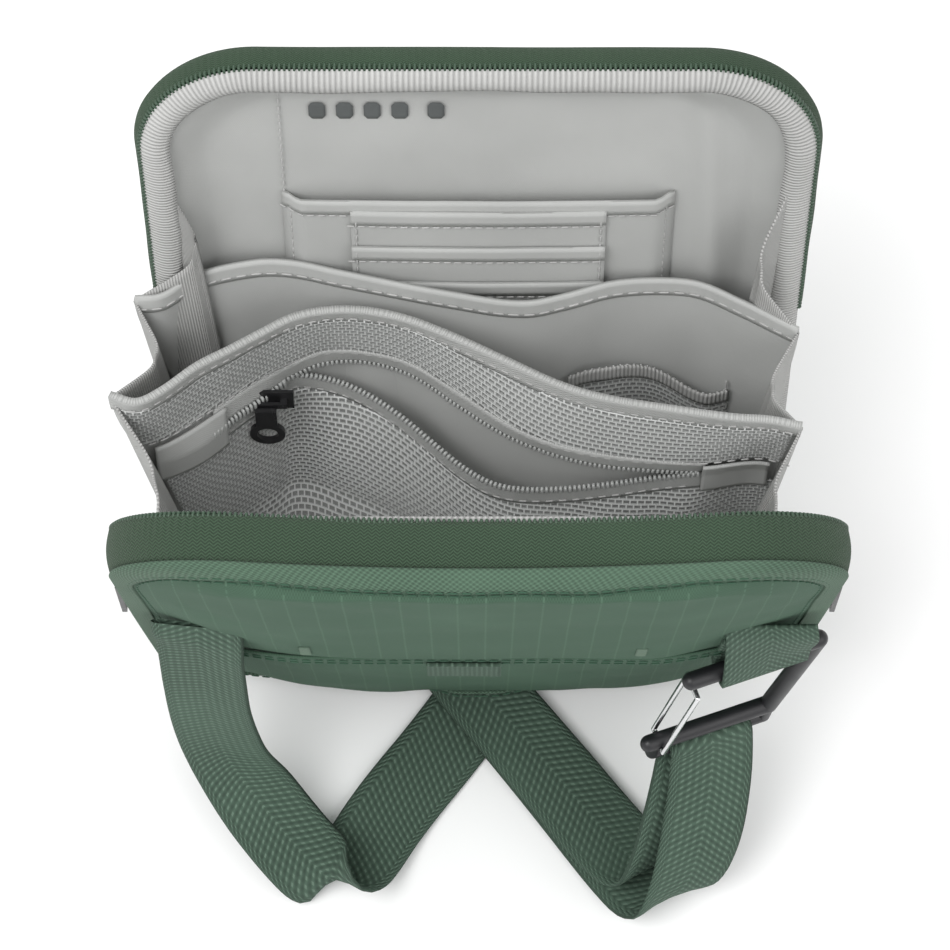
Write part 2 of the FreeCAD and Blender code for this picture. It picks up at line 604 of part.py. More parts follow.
# ---- straps -----------------------------------------------------------------------------
def rounded_path(points, share=0.45):
    """Straight runs joined by tangent arcs, each as large as its two runs allow."""
    edges, radii = [], []
    start = points[0]
    for before, corner, after in zip(points, points[1:], points[2:]):
        arriving, leaving = corner - before, after - corner
        cut = share * min(arriving.Length, leaving.Length)
        arriving.normalize()
        leaving.normalize()
        half_turn = arriving.getAngle(leaving) / 2
        radius = cut / math.tan(half_turn)
        inward = (leaving - arriving).normalize()
        first, last = corner - arriving * cut, corner + leaving * cut
        middle = corner + inward * (radius / math.cos(half_turn) - radius)
        edges += [Part.LineSegment(start, first).toShape(), Part.Arc(first, middle, last).toShape()]
        radii.append(radius)
        start = last
    edges.append(Part.LineSegment(start, points[-1]).toShape())
    return Part.Wire(edges), radii


def width_at(place, route):
    """The webbing's width direction at a place, from the nearest run of the route."""
    best = None
    for (start, start_width), (end, end_width) in zip(route, route[1:]):
        first, run = Vector(*start), Vector(*end) - Vector(*start)
        share = min(1.0, max(0.0, (place - first).dot(run) / run.dot(run)))
        distance = (place - first - run * share).Length
        if best is None or distance < best[0]:
            best = (distance, Vector(*start_width) * (1 - share) + Vector(*end_width) * share)
    return best[1]


def ribbon(route, name):
    """A flat webbing solid along a route, as a closed shell of small triangles."""
    path, radii = rounded_path([Vector(*point) for point, _ in route])
    places = path.discretize(Number=int(path.Length / 3.0))
    sections = []
    for index, place in enumerate(places):
        ahead = places[min(index + 1, len(places) - 1)]
        behind = places[max(index - 1, 0)]
        along = (ahead - behind).normalize()
        across = width_at(place, route)
        across = (across - along * across.dot(along)).normalize()
        a = across * (WEBBING / 2)
        b = along.cross(across) * (WEBBING_THICKNESS / 2)
        sections.append([place + a + b, place - a + b, place - a - b, place + a - b])

    def triangle(p, q, r):
        return Part.Face(Part.makePolygon([p, q, r, p]))

    faces = []
    for here, there in zip(sections, sections[1:]):
        for i in range(4):
            j = (i + 1) % 4
            faces += [triangle(here[i], here[j], there[j]), triangle(here[i], there[j], there[i])]
    for cap in (sections[0], sections[-1]):
        faces += [triangle(cap[0], cap[1], cap[2]), triangle(cap[0], cap[2], cap[3])]
    solid = Part.Solid(Part.Shell(faces))
    if solid.Volume < 0:
        solid.reverse()
    expected = path.Length * WEBBING * WEBBING_THICKNESS
    print("%s: %.0f mm, volume %.0f of %.0f, smallest radii %s" % (
        name, path.Length, solid.Volume, expected, [round(r, 1) for r in sorted(radii)[:4]]))
    return solid


def strap_coil():
    """The outer shape of the strap's rolled-up length: a short drum standing on its edge."""
    x, y = COIL_CENTRE
    return Part.makeCylinder(COIL_OUTER + 1.5, WEBBING + 0.4, Vector(x, y, 0.1))


def strap_adjuster():
    """A slide that both layers of webbing run through."""
    x, y = ADJUSTER_CENTRE
    half, reach = WEBBING / 2 + 1.2, ADJUSTER_LENGTH / 2
    low = 0.1
    window = low + ADJUSTER_WALL
    high = window + ADJUSTER_WINDOW
    body = block(x - half - ADJUSTER_SIDE, x + half + ADJUSTER_SIDE, y - reach, y + reach,
                 low, high + ADJUSTER_WALL)
    return body.cut(block(x - half, x + half, y - 20, y + 20, window, high))


# ---- the whole model --------------------------------------------------------------------
def build_nodes():
    """Every node's shape, in place."""
    nodes = {}
    front = front_half()
    for side in (-1, 1):
        front.update(main_slider(side))
    for shapes, hinge in ((front, FRONT_HINGE), (rear_half(), REAR_HINGE),
                          (pen_divider(), PEN_DIVIDER_HINGE),
                          ({**zip_divider(), **mesh_slider()}, ZIP_DIVIDER_HINGE)):
        for name, shape in shapes.items():
            nodes[name] = lean(shape, hinge)
    nodes.update(gussets())
    nodes["base_panel"] = base_panel()
    nodes["hook_frame"] = place_on_hook(hook_frame())
    nodes["gate_wire"] = place_on_hook(gate_wire())
    nodes["short_webbing_loop"] = short_loop()
    nodes["strap_left_run"] = ribbon(LEFT_ROUTE, "strap_left_run")
    nodes["strap_right_run"] = ribbon(RIGHT_ROUTE, "strap_right_run")
    nodes["strap_return_run"] = ribbon(RETURN_ROUTE, "strap_return_run")
    nodes["strap_coil"] = strap_coil()
    nodes["strap_adjuster"] = strap_adjuster()
    return nodes


def main():
    """Build every node and write it."""
    os.makedirs("parts", exist_ok=True)
    for name, shape in build_nodes().items():
        save(shape, name)


main()
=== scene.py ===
"""Looks for the neck pouch wallet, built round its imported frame.

Sizes in this file are in millimetres until a mesh is placed, and MM turns them into metres. Each
leaf of the pouch has its own upright frame (across, depth, height), which Leaf turns into the row's
frame.
"""

import json
import logging
import math
from dataclasses import dataclass, field
from enum import Enum
from typing import Callable, Dict, Iterable, List, Optional, Sequence, Tuple

import bmesh
import bpy
from mathutils import Matrix, Vector, noise

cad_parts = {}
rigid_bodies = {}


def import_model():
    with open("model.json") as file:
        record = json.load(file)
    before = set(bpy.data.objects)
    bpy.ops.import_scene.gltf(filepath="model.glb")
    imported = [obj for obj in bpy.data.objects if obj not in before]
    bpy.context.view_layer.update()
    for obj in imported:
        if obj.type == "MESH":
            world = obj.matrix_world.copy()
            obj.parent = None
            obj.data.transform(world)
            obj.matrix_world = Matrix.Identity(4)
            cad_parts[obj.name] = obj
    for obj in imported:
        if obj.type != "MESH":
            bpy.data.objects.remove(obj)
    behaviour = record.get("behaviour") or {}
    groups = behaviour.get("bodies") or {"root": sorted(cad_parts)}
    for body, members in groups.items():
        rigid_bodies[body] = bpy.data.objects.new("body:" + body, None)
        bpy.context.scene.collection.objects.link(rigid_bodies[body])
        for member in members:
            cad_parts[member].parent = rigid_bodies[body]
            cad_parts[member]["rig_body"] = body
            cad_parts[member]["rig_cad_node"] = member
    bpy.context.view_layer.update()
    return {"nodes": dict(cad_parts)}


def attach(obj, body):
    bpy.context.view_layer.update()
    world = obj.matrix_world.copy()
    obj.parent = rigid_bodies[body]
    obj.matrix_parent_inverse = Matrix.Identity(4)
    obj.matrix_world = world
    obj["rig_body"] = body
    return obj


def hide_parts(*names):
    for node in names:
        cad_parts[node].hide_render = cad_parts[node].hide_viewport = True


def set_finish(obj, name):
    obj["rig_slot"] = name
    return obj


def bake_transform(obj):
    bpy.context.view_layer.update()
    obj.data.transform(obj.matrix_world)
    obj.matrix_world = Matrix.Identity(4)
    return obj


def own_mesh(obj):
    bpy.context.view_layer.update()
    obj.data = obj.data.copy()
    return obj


LOG = logging.getLogger("pouch")
MM = 0.001

Place = Callable[[float, float], Vector]
Pair = Tuple[float, float]

LEFT_ROUTE = [
    ((-66, -55.9, 117.0), (0.99, -0.10, 0)),
    ((-66.1, -58.2, 112.5), (0.98, -0.15, 0)),
    ((-66.2, -58.6, 104), (0.96, -0.28, 0)),
    ((-66.5, -59.4, 92), (0.96, -0.26, 0)),
    ((-67, -61.0, 70), (0.97, -0.22, 0)),
    ((-66.5, -62.5, 50), (0.99, -0.10, 0)),
    ((-65, -64.0, 31), (0.99, 0.00, 0)),
    ((-60, -69, 18), (0.98, 0.15, 0)),
    ((-52.5, -78, 12.5), (0.96, 0.25, 0)),
    ((-44.5, -87, 11.0), (0.96, 0.29, 0)),
    ((-37.5, -92.5, 8.6), (0.92, 0.00, 0.36)),
    ((-32.0, -86.5, 5.4), (0.80, -0.56, 0.10)),
    ((-23.5, -71.5, 2.0), (0.765, -0.644, 0)),
    ((-6, -49.5, 0.75), (0.765, -0.644, 0)),
    ((8, -28, 0.75), (0.86, -0.50, 0)),
    ((17, -6, 1.0), (0.94, -0.34, 0)),
    ((22, 16, 2.6), (0.98, -0.20, 0)),
    ((25, 34, 6.8), (0.93, -0.20, 0.30)),
    ((31, 52, 11.4), (0.50, -0.20, 0.84)),
    ((41, 70, 12.0), (0, 0, 1)),
]
RIGHT_ROUTE = [
    ((-14, 52.2, 11.8), (0, 0, 1)),
    ((-20.5, 48.8, 10.6), (0.55, 0.1, 0.84)),
    ((-23.8, 42.5, 6.8), (0.92, 0.1, 0.4)),
    ((-24.4, 34.5, 4.0), (1, 0, 0)),
    ((-23.8, 20, 4.0), (1, 0.02, 0)),
    ((-22.6, 5, 4.0), (0.99, 0.10, 0)),
    ((-17, -12, 4.0), (0.95, 0.30, 0)),
    ((-6, -30, 4.0), (0.85, 0.52, 0)),
    ((7, -46, 4.0), (0.77, 0.64, 0)),
    ((22, -64, 4.0), (0.75, 0.66, 0)),
    ((34, -79, 4.2), (0.78, 0.62, 0)),
    ((43, -89, 7.8), (0.88, 0.44, -0.15)),
    ((48.5, -88, 17), (0.92, 0.36, -0.15)),
    ((52.5, -79, 28), (0.94, 0.33, -0.06)),
    ((55.6, -69, 36), (0.945, 0.326, 0)),
    ((57.5, -60.2, 41), (0.945, 0.326, 0)),
    ((57.4, -59.1, 46.8), (0.945, 0.326, 0)),
    ((58.3, -61.7, 46.9), (0.945, 0.326, 0)),
    ((59.2, -64.3, 47.0), (0.945, 0.326, 0)),
    ((59.6, -65.8, 42), (0.945, 0.326, 0)),
    ((59.2, -74, 35), (0.945, 0.326, 0)),
    ((57.2, -86, 26), (0.94, 0.33, 0)),
    ((53.5, -95.5, 14), (0.92, 0.36, -0.1)),
    ((46.5, -96.5, 4.6), (0.88, 0.44, -0.1)),
    ((37, -84.5, 1.9), (0.78, 0.62, 0)),
    ((23, -66, 2.3), (0.75, 0.66, 0)),
    ((8, -47, 2.3), (0.77, 0.64, 0)),
    ((-5.6, -30.5, 2.3), (0.85, 0.52, 0)),
    ((-16.6, -12, 2.3), (0.95, 0.30, 0)),
    ((-22.2, 5, 2.3), (0.99, 0.10, 0)),
    ((-23.6, 20, 2.3), (1, 0.02, 0)),
    ((-24.2, 32, 2.3), (1, 0, 0)),
]


# ---- small maths ------------------------------------------------------------------------
def smooth(value: float, low: float, high: float) -> float:
    """A smooth step from 0 at low to 1 at high."""
    t = min(1.0, max(0.0, (value - low) / (high - low)))
    return t * t * (3 - 2 * t)


def curve_at(points: Sequence[Pair], x: float) -> float:
    """A smooth curve through points, held at its ends.

    Args:
        points: (x, value) pairs in the order of x.
        x: where to read the curve.

    Returns:
        The curve's value there.
    """
    if x <= points[0][0]:
        return points[0][1]
    for index in range(len(points) - 1):
        (x0, v0), (x1, v1) = points[index], points[index + 1]
        if x <= x1:
            before = points[max(index - 1, 0)]
            after = points[min(index + 2, len(points) - 1)]
            m0 = (v1 - before[1]) / (x1 - before[0]) * (x1 - x0)
            m1 = (after[1] - v0) / (after[0] - x0) * (x1 - x0)
            t = (x - x0) / (x1 - x0)
            return ((2 * t ** 3 - 3 * t ** 2 + 1) * v0 + (t ** 3 - 2 * t ** 2 + t) * m0
                    + (3 * t ** 2 - 2 * t ** 3) * v1 + (t ** 3 - t ** 2) * m1)
    return points[-1][1]


def ripple(x: float, y: float, z: float, size: float) -> float:
    """Smooth noise from -1 to 1 whose bumps are about size millimetres wide."""
    return noise.noise(Vector((x, y, z)) / size)


@dataclass(frozen=True)
class Leaf:
    """An upright frame leaned about a line along X.

    Args:
        y: the hinge line's distance from the frame's centre, in millimetres.
        z: its height.
        lean: degrees, positive to the front.
    """

    y: float
    z: float
    lean: float

    def at(self, across: float, depth: float, height: float) -> Vector:
        """Turn a place in the upright frame into the row's frame.

        Args:
            across: millimetres along X.
            depth: millimetres behind the leaf's plane.
            height: millimetres up the leaf before it leans.

        Returns:
            The place in millimetres.
        """
        turn = math.radians(self.lean)
        rise = height - self.z
        return Vector((across, self.y + depth * math.cos(turn) - rise * math.sin(turn),
                       self.z + depth * math.sin(turn) + rise * math.cos(turn)))


FRONT = Leaf(-24.0, 0.0, 8.5)
ZIP_DIVIDER = Leaf(-11.0, 7.0, -11.3)
PEN_DIVIDER = Leaf(-3.0, 7.0, -17.6)
REAR = Leaf(5.0, 7.0, -17.0)


@dataclass
class Outline:
    """A rounded four-cornered outline that is read clockwise from its bottom centre.

    Args:
        foot: half the width at the bottom.
        top: half the width at the top.
        low: the lowest height.
        high: the greatest height.
        low_radius: radius of the bottom corners.
        high_radius: radius of the top corners.
        marks: the shares at which each straight and each corner starts.
    """

    foot: float
    top: float
    low: float
    high: float
    low_radius: float
    high_radius: float
    marks: Tuple[float, ...] = (0.0, 0.07, 0.15, 0.37, 0.43, 0.5)
    _half: List[Vector] = field(default_factory=list)

    def __post_init__(self) -> None:
        """Work out the start, end and centre of the left side's two round corners."""
        corners = [Vector((0, self.low)), Vector((-self.foot, self.low)),
                   Vector((-self.top, self.high)), Vector((0, self.high))]
        for index, radius in ((1, self.low_radius), (2, self.high_radius)):
            arriving = (corners[index] - corners[index - 1]).normalized()
            leaving = (corners[index + 1] - corners[index]).normalized()
            half_turn = arriving.angle(leaving) / 2
            cut = radius * math.tan(half_turn)
            self._half += [corners[index] - arriving * cut, corners[index] + leaving * cut,
                           corners[index] + (leaving - arriving).normalized()
                           * (radius / math.cos(half_turn))]

    def at(self, share: float) -> Vector:
        """The outline's place at a share of the way round.

        Args:
            share: 0 and 1 are the bottom's middle, and 0.5 the top's.

        Returns:
            The (across, height) place in millimetres.
        """
        side = 1.0 if share <= 0.5 else -1.0
        s = min(share, 1 - share)
        first, first_end, first_centre, last, last_end, last_centre = self._half
        stops = [Vector((0, self.low)), first, first_end, last, last_end, Vector((0, self.high))]
        index = max(i for i in range(5) if s >= self.marks[i] - 1e-9)
        t = (s - self.marks[index]) / (self.marks[index + 1] - self.marks[index])
        a, b = stops[index], stops[index + 1]
        if index in (1, 3):
            centre = first_centre if index == 1 else last_centre
            start, sweep = a - centre, (a - centre).angle_signed(b - centre)
            point = centre + Matrix.Rotation(-sweep * t, 2) @ start
        else:
            point = a.lerp(b, t)
        return Vector((point.x * side, point.y))


RIM = Outline(81.5, 81.5, 12.0, 187.0, 26.0, 30.0)
FACE = Outline(43.5, 74.5, 12.0, 185.5, 32.0, 30.0)
SIDE_LOW = 0.15 + 0.22 * (100 - 38) / (157 - 38)


# ---- meshes -----------------------------------------------------------------------------
def grid_piece(name: str, columns: int, rows: int, place: Place,
               size: Pair = (100.0, 100.0), thickness: float = 0.0,
               uv: Optional[Callable[[Vector], Pair]] = None,
               weld: bool = False, offset: float = 0.0) -> bpy.types.Object:
    """A sheet whose place is a function of two shares.

    Args:
        name: the object's name.
        columns: divisions along the first share.
        rows: divisions along the second.
        place: gives a point in millimetres for shares from 0 to 1.
        size: the sheet's flat size in millimetres, used for its UV map.
        thickness: millimetres of cloth, by a Solidify modifier, or 0 for none.
        uv: gives (u, v) in millimetres from a point, in place of the flat size.
        weld: whether the sheet's edges that meet are joined.
        offset: which side the thickness goes to, from -1 to 1.

    Returns:
        The new object, at the origin.
    """
    mesh = bpy.data.meshes.new(name)
    work = bmesh.new()
    bmesh.ops.create_grid(work, x_segments=columns, y_segments=rows, size=0.5)
    layer = work.loops.layers.uv.new("UVMap")
    shares = {vert: (vert.co.x + 0.5, vert.co.y + 0.5) for vert in work.verts}
    for vert, (s, t) in shares.items():
        vert.co = place(s, t) * MM
    for face in work.faces:
        face.smooth = True
        for loop in face.loops:
            s, t = shares[loop.vert]
            flat = uv(loop.vert.co / MM) if uv else (s * size[0], t * size[1])
            loop[layer].uv = (flat[0] * MM, flat[1] * MM)
    if weld:
        bmesh.ops.remove_doubles(work, verts=work.verts, dist=0.01 * MM)
    work.to_mesh(mesh)
    work.free()
    piece = bpy.data.objects.new(name, mesh)
    bpy.context.scene.collection.objects.link(piece)
    if thickness:
        solid = piece.modifiers.new("cloth", "SOLIDIFY")
        solid.thickness = thickness * MM
        solid.offset = offset
    return piece


def cut_piece(piece: bpy.types.Object, leaf: Leaf, height: float, keep_above: bool) -> None:
    """Cut a piece along a leaf's height, and keep one side.

    Args:
        piece: the sheet to cut.
        leaf: the frame that the height is measured in.
        height: where the cut goes, in millimetres.
        keep_above: whether the upper side stays.
    """
    work = bmesh.new()
    work.from_mesh(piece.data)
    turn = math.radians(leaf.lean)
    normal = Vector((0, -math.sin(turn), math.cos(turn)))
    bmesh.ops.bisect_plane(work, geom=work.verts[:] + work.edges[:] + work.faces[:],
                           plane_co=leaf.at(0, 0, height) * MM, plane_no=normal,
                           clear_inner=keep_above, clear_outer=not keep_above)
    work.to_mesh(piece.data)
    work.free()


def beads(name: str, places: Iterable[Matrix], size: Vector) -> bpy.types.Object:
    """Many small chamfered blocks as one mesh, for stitches and zip teeth.

    Args:
        name: the object's name.
        places: one matrix in millimetres for each block.
        size: a block's size in millimetres.

    Returns:
        The new object, at the origin.
    """
    pattern = bmesh.new()
    bmesh.ops.create_cube(pattern, size=1.0)
    bmesh.ops.bevel(pattern, geom=pattern.edges[:], offset=0.2, segments=1, profile=0.5,
                    affect="EDGES", material=-1)
    seed = bpy.data.meshes.new(name + "_seed")
    pattern.to_mesh(seed)
    pattern.free()
    work = bmesh.new()
    scale = Matrix.Diagonal((*size, 1.0))
    for place in places:
        before = len(work.verts)
        work.from_mesh(seed)
        work.verts.ensure_lookup_table()
        bmesh.ops.transform(work, matrix=Matrix.Scale(MM, 4) @ place @ scale,
                            verts=work.verts[before:])
    for face in work.faces:
        face.smooth = True
    mesh = bpy.data.meshes.new(name)
    work.to_mesh(mesh)
    work.free()
    bpy.data.meshes.remove(seed)
    piece = bpy.data.objects.new(name, mesh)
    bpy.context.scene.collection.objects.link(piece)
    return piece


def along(points: Sequence[Vector], step: float, normal: Vector) -> List[Matrix]:
    """Evenly spaced frames along a line of points.

    Args:
        points: the line, in millimetres.
        step: the distance between frames.
        normal: the way that each frame's Z points, as nearly as the line lets it.

    Returns:
        The frames, with X along the line.
    """
    frames: List[Matrix] = []
    wanted, walked = 0.0, 0.0
    for a, b in zip(points, points[1:]):
        length = (b - a).length
        while length > 0 and wanted <= walked + length:
            x = (b - a).normalized()
            z = (normal - x * normal.dot(x)).normalized()
            turned = Matrix((x, z.cross(x), z)).transposed().to_4x4()
            frames.append(Matrix.Translation(a.lerp(b, (wanted - walked) / length)) @ turned)
            wanted += step
        walked += length
    return frames


def sampled(place: Callable[[float], Vector], count: int,
            low: float = 0.0, high: float = 1.0) -> List[Vector]:
    """Points of a curve between two shares."""
    return [place(low + (high - low) * i / count) for i in range(count + 1)]


def flat_uv(point: Vector) -> Pair:
    """Across and up, for cloth that is seen from the front or the back."""
    return (point.x, point.z)


# ---- materials --------------------------------------------------------------------------
class Weave(Enum):
    """How a cloth is woven."""

    PLAIN = "plain"
    RIPSTOP = "ripstop"
    RIB = "rib"
    HERRINGBONE = "herringbone"
    KNIT = "knit"
    SMOOTH = "smooth"


@dataclass(frozen=True)
class Cloth:
    """One cloth finish.

    Args:
        name: the material's name.
        colour: its linear colour.
        weave: how it is woven.
        pitch: the weave's repeat in millimetres.
        depth: how strongly the weave shows in relief.
        contrast: how much painted shade darkens the gaps between threads.
        roughness: surface roughness.
        thread: the colour of the light thread, for ripstop and herringbone.
    """

    name: str
    colour: Tuple[float, float, float]
    weave: Weave
    pitch: float
    depth: float = 0.4
    contrast: float = 0.35
    roughness: float = 0.85
    thread: Tuple[float, float, float] = (0.4, 0.42, 0.38)


class Graph:
    """A short way to write a node tree.

    Args:
        tree: the node tree to add to.
    """

    def __init__(self, tree: bpy.types.NodeTree) -> None:
        """Keep the tree."""
        self.tree = tree

    def node(self, kind: str, settings: Optional[Dict[str, object]] = None,
             **inputs: object) -> bpy.types.Node:
        """Add a node.

        Args:
            kind: the node's type.
            settings: its own settings, by name.
            inputs: constants or sockets, by the input's name, or by _ and its number.

        Returns:
            The node.
        """
        made = self.tree.nodes.new(kind)
        for key, value in (settings or {}).items():
            setattr(made, key, value)
        for key, value in inputs.items():
            socket = made.inputs[int(key[1:])] if key[0] == "_" else made.inputs[
                key.replace("__", " ")]
            if isinstance(value, bpy.types.NodeSocket):
                self.tree.links.new(value, socket)
            else:
                socket.default_value = value
        return made

    def math(self, operation: str, a: object, b: object = 0.0) -> bpy.types.NodeSocket:
        """A maths node's output."""
        return self.node("ShaderNodeMath", {"operation": operation}, _0=a, _1=b).outputs[0]

    def mix(self, share: object, a: object, b: object) -> bpy.types.NodeSocket:
        """Mix two colours.

        Args:
            share: how much of the second colour shows, as a number or a socket.
            a: the first colour.
            b: the second colour.

        Returns:
            The mixed colour's socket.
        """
        made = self.tree.nodes.new("ShaderNodeMix")
        made.data_type = "RGBA"
        for socket, value in zip((made.inputs[0], made.inputs[6], made.inputs[7]), (share, a, b)):
            if isinstance(value, bpy.types.NodeSocket):
                self.tree.links.new(value, socket)
            else:
                socket.default_value = value
        return made.outputs[2]


def weave_group(weave: Weave) -> bpy.types.NodeTree:
    """The shared node group of a weave: UV and pitch in, relief height and light thread out.

    Args:
        weave: how the cloth is woven.

    Returns:
        The group, which is made once.
    """
    name = "weave_" + weave.value
    if name in bpy.data.node_groups:
        return bpy.data.node_groups[name]
    tree = bpy.data.node_groups.new(name, "ShaderNodeTree")
    tree.interface.new_socket("UV", in_out="INPUT", socket_type="NodeSocketVector")
    tree.interface.new_socket("Pitch", in_out="INPUT", socket_type="NodeSocketFloat")
    tree.interface.new_socket("Height", in_out="OUTPUT", socket_type="NodeSocketFloat")
    tree.interface.new_socket("Thread", in_out="OUTPUT", socket_type="NodeSocketFloat")
    g = Graph(tree)
    inputs = g.node("NodeGroupInput")
    split = g.node("ShaderNodeSeparateXYZ", _0=inputs.outputs["UV"])
    turn = g.math("DIVIDE", 2 * math.pi, inputs.outputs["Pitch"])
    u = g.math("MULTIPLY", split.outputs[0], turn)
    v = g.math("MULTIPLY", split.outputs[1], turn)
    thread: object = 0.0
    if weave is Weave.RIB:
        height = g.math("ABSOLUTE", g.math("SINE", u))
    elif weave is Weave.HERRINGBONE:
        fold = g.math("PINGPONG", split.outputs[0], 11.0 * MM)
        zigzag = g.math("MULTIPLY", fold, turn)
        twill = g.math("SINE", g.math("ADD", v, zigzag))
        yarns = g.math("SINE", g.math("MULTIPLY", u, 1.6))
        height = g.math("MULTIPLY_ADD", g.math("ADD", twill, g.math("MULTIPLY", yarns, 0.4)),
                        0.36)
        height.node.inputs[2].default_value = 0.5
        thread = g.math("MULTIPLY", g.math("GREATER_THAN", twill, 0.55),
                        g.math("GREATER_THAN", yarns, 0.2))
    elif weave is Weave.KNIT:
        slant = g.math("ADD", v, g.math("PINGPONG", u, math.pi))
        height = g.math("ABSOLUTE", g.math("SINE", slant))
    elif weave is Weave.SMOOTH:
        height = g.math("MULTIPLY", g.math("SINE", u), g.math("SINE", v))
    else:
        over = g.math("MULTIPLY", g.math("SINE", u), g.math("SINE", v))
        height = g.math("MULTIPLY_ADD", over, 0.5)
        height.node.inputs[2].default_value = 0.5
        if weave is Weave.RIPSTOP:
            lines = g.math("GREATER_THAN", g.math("SINE", g.math("MULTIPLY", u, 0.1)), 0.975)
            dashes = g.math("GREATER_THAN", g.math("SINE", g.math("MULTIPLY", v, 0.31)), -0.35)
            thread = g.math("MULTIPLY", lines, dashes)
    outputs = g.node("NodeGroupOutput")
    tree.links.new(height, outputs.inputs["Height"])
    if isinstance(thread, bpy.types.NodeSocket):
        tree.links.new(thread, outputs.inputs["Thread"])
    return tree


def cloth_material(cloth: Cloth) -> bpy.types.Material:
    """A woven cloth: threads in relief with painted shade between them, faint dirt and wear, and a
    soft sheen.

    Args:
        cloth: the finish.

    Returns:
        The material.
    """
    material = bpy.data.materials.new(cloth.name)
    material.use_nodes = True
    material.node_tree.nodes.clear()
    g = Graph(material.node_tree)
    uv = g.node("ShaderNodeUVMap", {"uv_map": "UVMap"}).outputs[0]
    place = g.node("ShaderNodeTexCoord").outputs["Object"]
    woven = g.node("ShaderNodeGroup", {"node_tree": weave_group(cloth.weave)}, UV=uv,
                   Pitch=cloth.pitch * MM)
    patches = g.node("ShaderNodeTexNoise", None, Vector=place, Scale=28.0, Detail=3.0)
    fibres = g.node("ShaderNodeTexNoise", None, Vector=place, Scale=900.0, Detail=2.0)
    base = (*cloth.colour, 1.0)
    # Painted shade: the cloth colour is darkened where the weave's relief is low, between the
    # threads.
    painted_gap_shade = (*(c * (1 - cloth.contrast) for c in cloth.colour), 1.0)
    pale = (*(min(1.0, c * 1.22) for c in cloth.colour), 1.0)
    shade = g.mix(woven.outputs["Height"], painted_gap_shade, base)
    wear = g.node("ShaderNodeMapRange", None, Value=patches.outputs[0], From__Min=0.45,
                  From__Max=0.8, To__Min=0.0, To__Max=0.4).outputs[0]
    shade = g.mix(wear, shade, pale)
    shade = g.mix(g.math("MULTIPLY", woven.outputs["Thread"], 0.75), shade, (*cloth.thread, 1.0))
    grain = g.math("MULTIPLY", fibres.outputs[0], 0.35)
    relief = g.math("ADD", woven.outputs["Height"], grain)
    bump = g.node("ShaderNodeBump", None, Strength=cloth.depth,
                  Distance=0.25 * cloth.pitch * MM, Height=relief)
    skin = g.node("ShaderNodeBsdfPrincipled", None, Base__Color=shade,
                  Roughness=cloth.roughness, Normal=bump.outputs[0])
    skin.inputs["Sheen Weight"].default_value = 0.12
    skin.inputs["Sheen Tint"].default_value = (*cloth.thread, 1.0)
    skin.inputs["Sheen Roughness"].default_value = 0.5
    skin.inputs["Specular IOR Level"].default_value = 0.25
    g.node("ShaderNodeOutputMaterial", None, Surface=skin.outputs[0])
    return material


def mesh_material(name: str, colour: Tuple[float, float, float], cell: float,
                  wire: float) -> bpy.types.Material:
    """An open net: small holes in staggered rows.

    Args:
        name: the material's name.
        colour: the thread's linear colour.
        cell: the holes' repeat in millimetres.
        wire: how wide the thread is, as a share of a hole.

    Returns:
        The material.
    """
    material = bpy.data.materials.new(name)
    material.use_nodes = True
    material.node_tree.nodes.clear()
    g = Graph(material.node_tree)
    uv = g.node("ShaderNodeUVMap", {"uv_map": "UVMap"}).outputs[0]
    bricks = g.node("ShaderNodeTexBrick", {"offset": 0.5, "squash": 1.0}, Vector=uv,
                    Scale=1.0 / (cell * MM), Color1=(0, 0, 0, 1), Color2=(0, 0, 0, 1),
                    Mortar=(1, 1, 1, 1))
    bricks.inputs["Brick Width"].default_value = 1.0
    bricks.inputs["Row Height"].default_value = 0.8
    bricks.inputs["Mortar Size"].default_value = wire
    bricks.inputs["Mortar Smooth"].default_value = 0.6
    net = g.math("MINIMUM", g.math("MULTIPLY", bricks.outputs[0], 1.6), 1.0)
    skin = g.node("ShaderNodeBsdfPrincipled", None, Base__Color=(*colour, 1.0), Roughness=0.7,
                  Alpha=g.math("MAXIMUM", net, 0.12))
    skin.inputs["Sheen Weight"].default_value = 0.2
    g.node("ShaderNodeOutputMaterial", None, Surface=skin.outputs[0])
    return material


@dataclass(frozen=True)
class Hard:
    """A metal or plastic finish.

    Args:
        name: the material's name.
        colour: its linear colour.
        metallic: 0 or 1.
        roughness: surface roughness.
        wear: how much the roughness varies.
    """

    name: str
    colour: Tuple[float, float, float]
    metallic: float
    roughness: float
    wear: float = 0.1


def hard_material(hard: Hard) -> bpy.types.Material:
    """A smooth hard finish with faint handling marks.

    Args:
        hard: the finish.

    Returns:
        The material.
    """
    material = bpy.data.materials.new(hard.name)
    material.use_nodes = True
    material.node_tree.nodes.clear()
    g = Graph(material.node_tree)
    place = g.node("ShaderNodeTexCoord").outputs["Object"]
    marks = g.node("ShaderNodeTexNoise", None, Vector=place, Scale=220.0, Detail=4.0)
    rough = g.node("ShaderNodeMapRange", None, Value=marks.outputs[0], From__Min=0.3,
                   From__Max=0.7, To__Min=hard.roughness - hard.wear / 2,
                   To__Max=hard.roughness + hard.wear / 2).outputs[0]
    bump = g.node("ShaderNodeBump", None, Strength=0.08, Distance=0.0001,
                  Height=marks.outputs[0])
    skin = g.node("ShaderNodeBsdfPrincipled", None, Base__Color=(*hard.colour, 1.0),
                  Metallic=hard.metallic, Roughness=rough, Normal=bump.outputs[0])
    g.node("ShaderNodeOutputMaterial", None, Surface=skin.outputs[0])
    return material


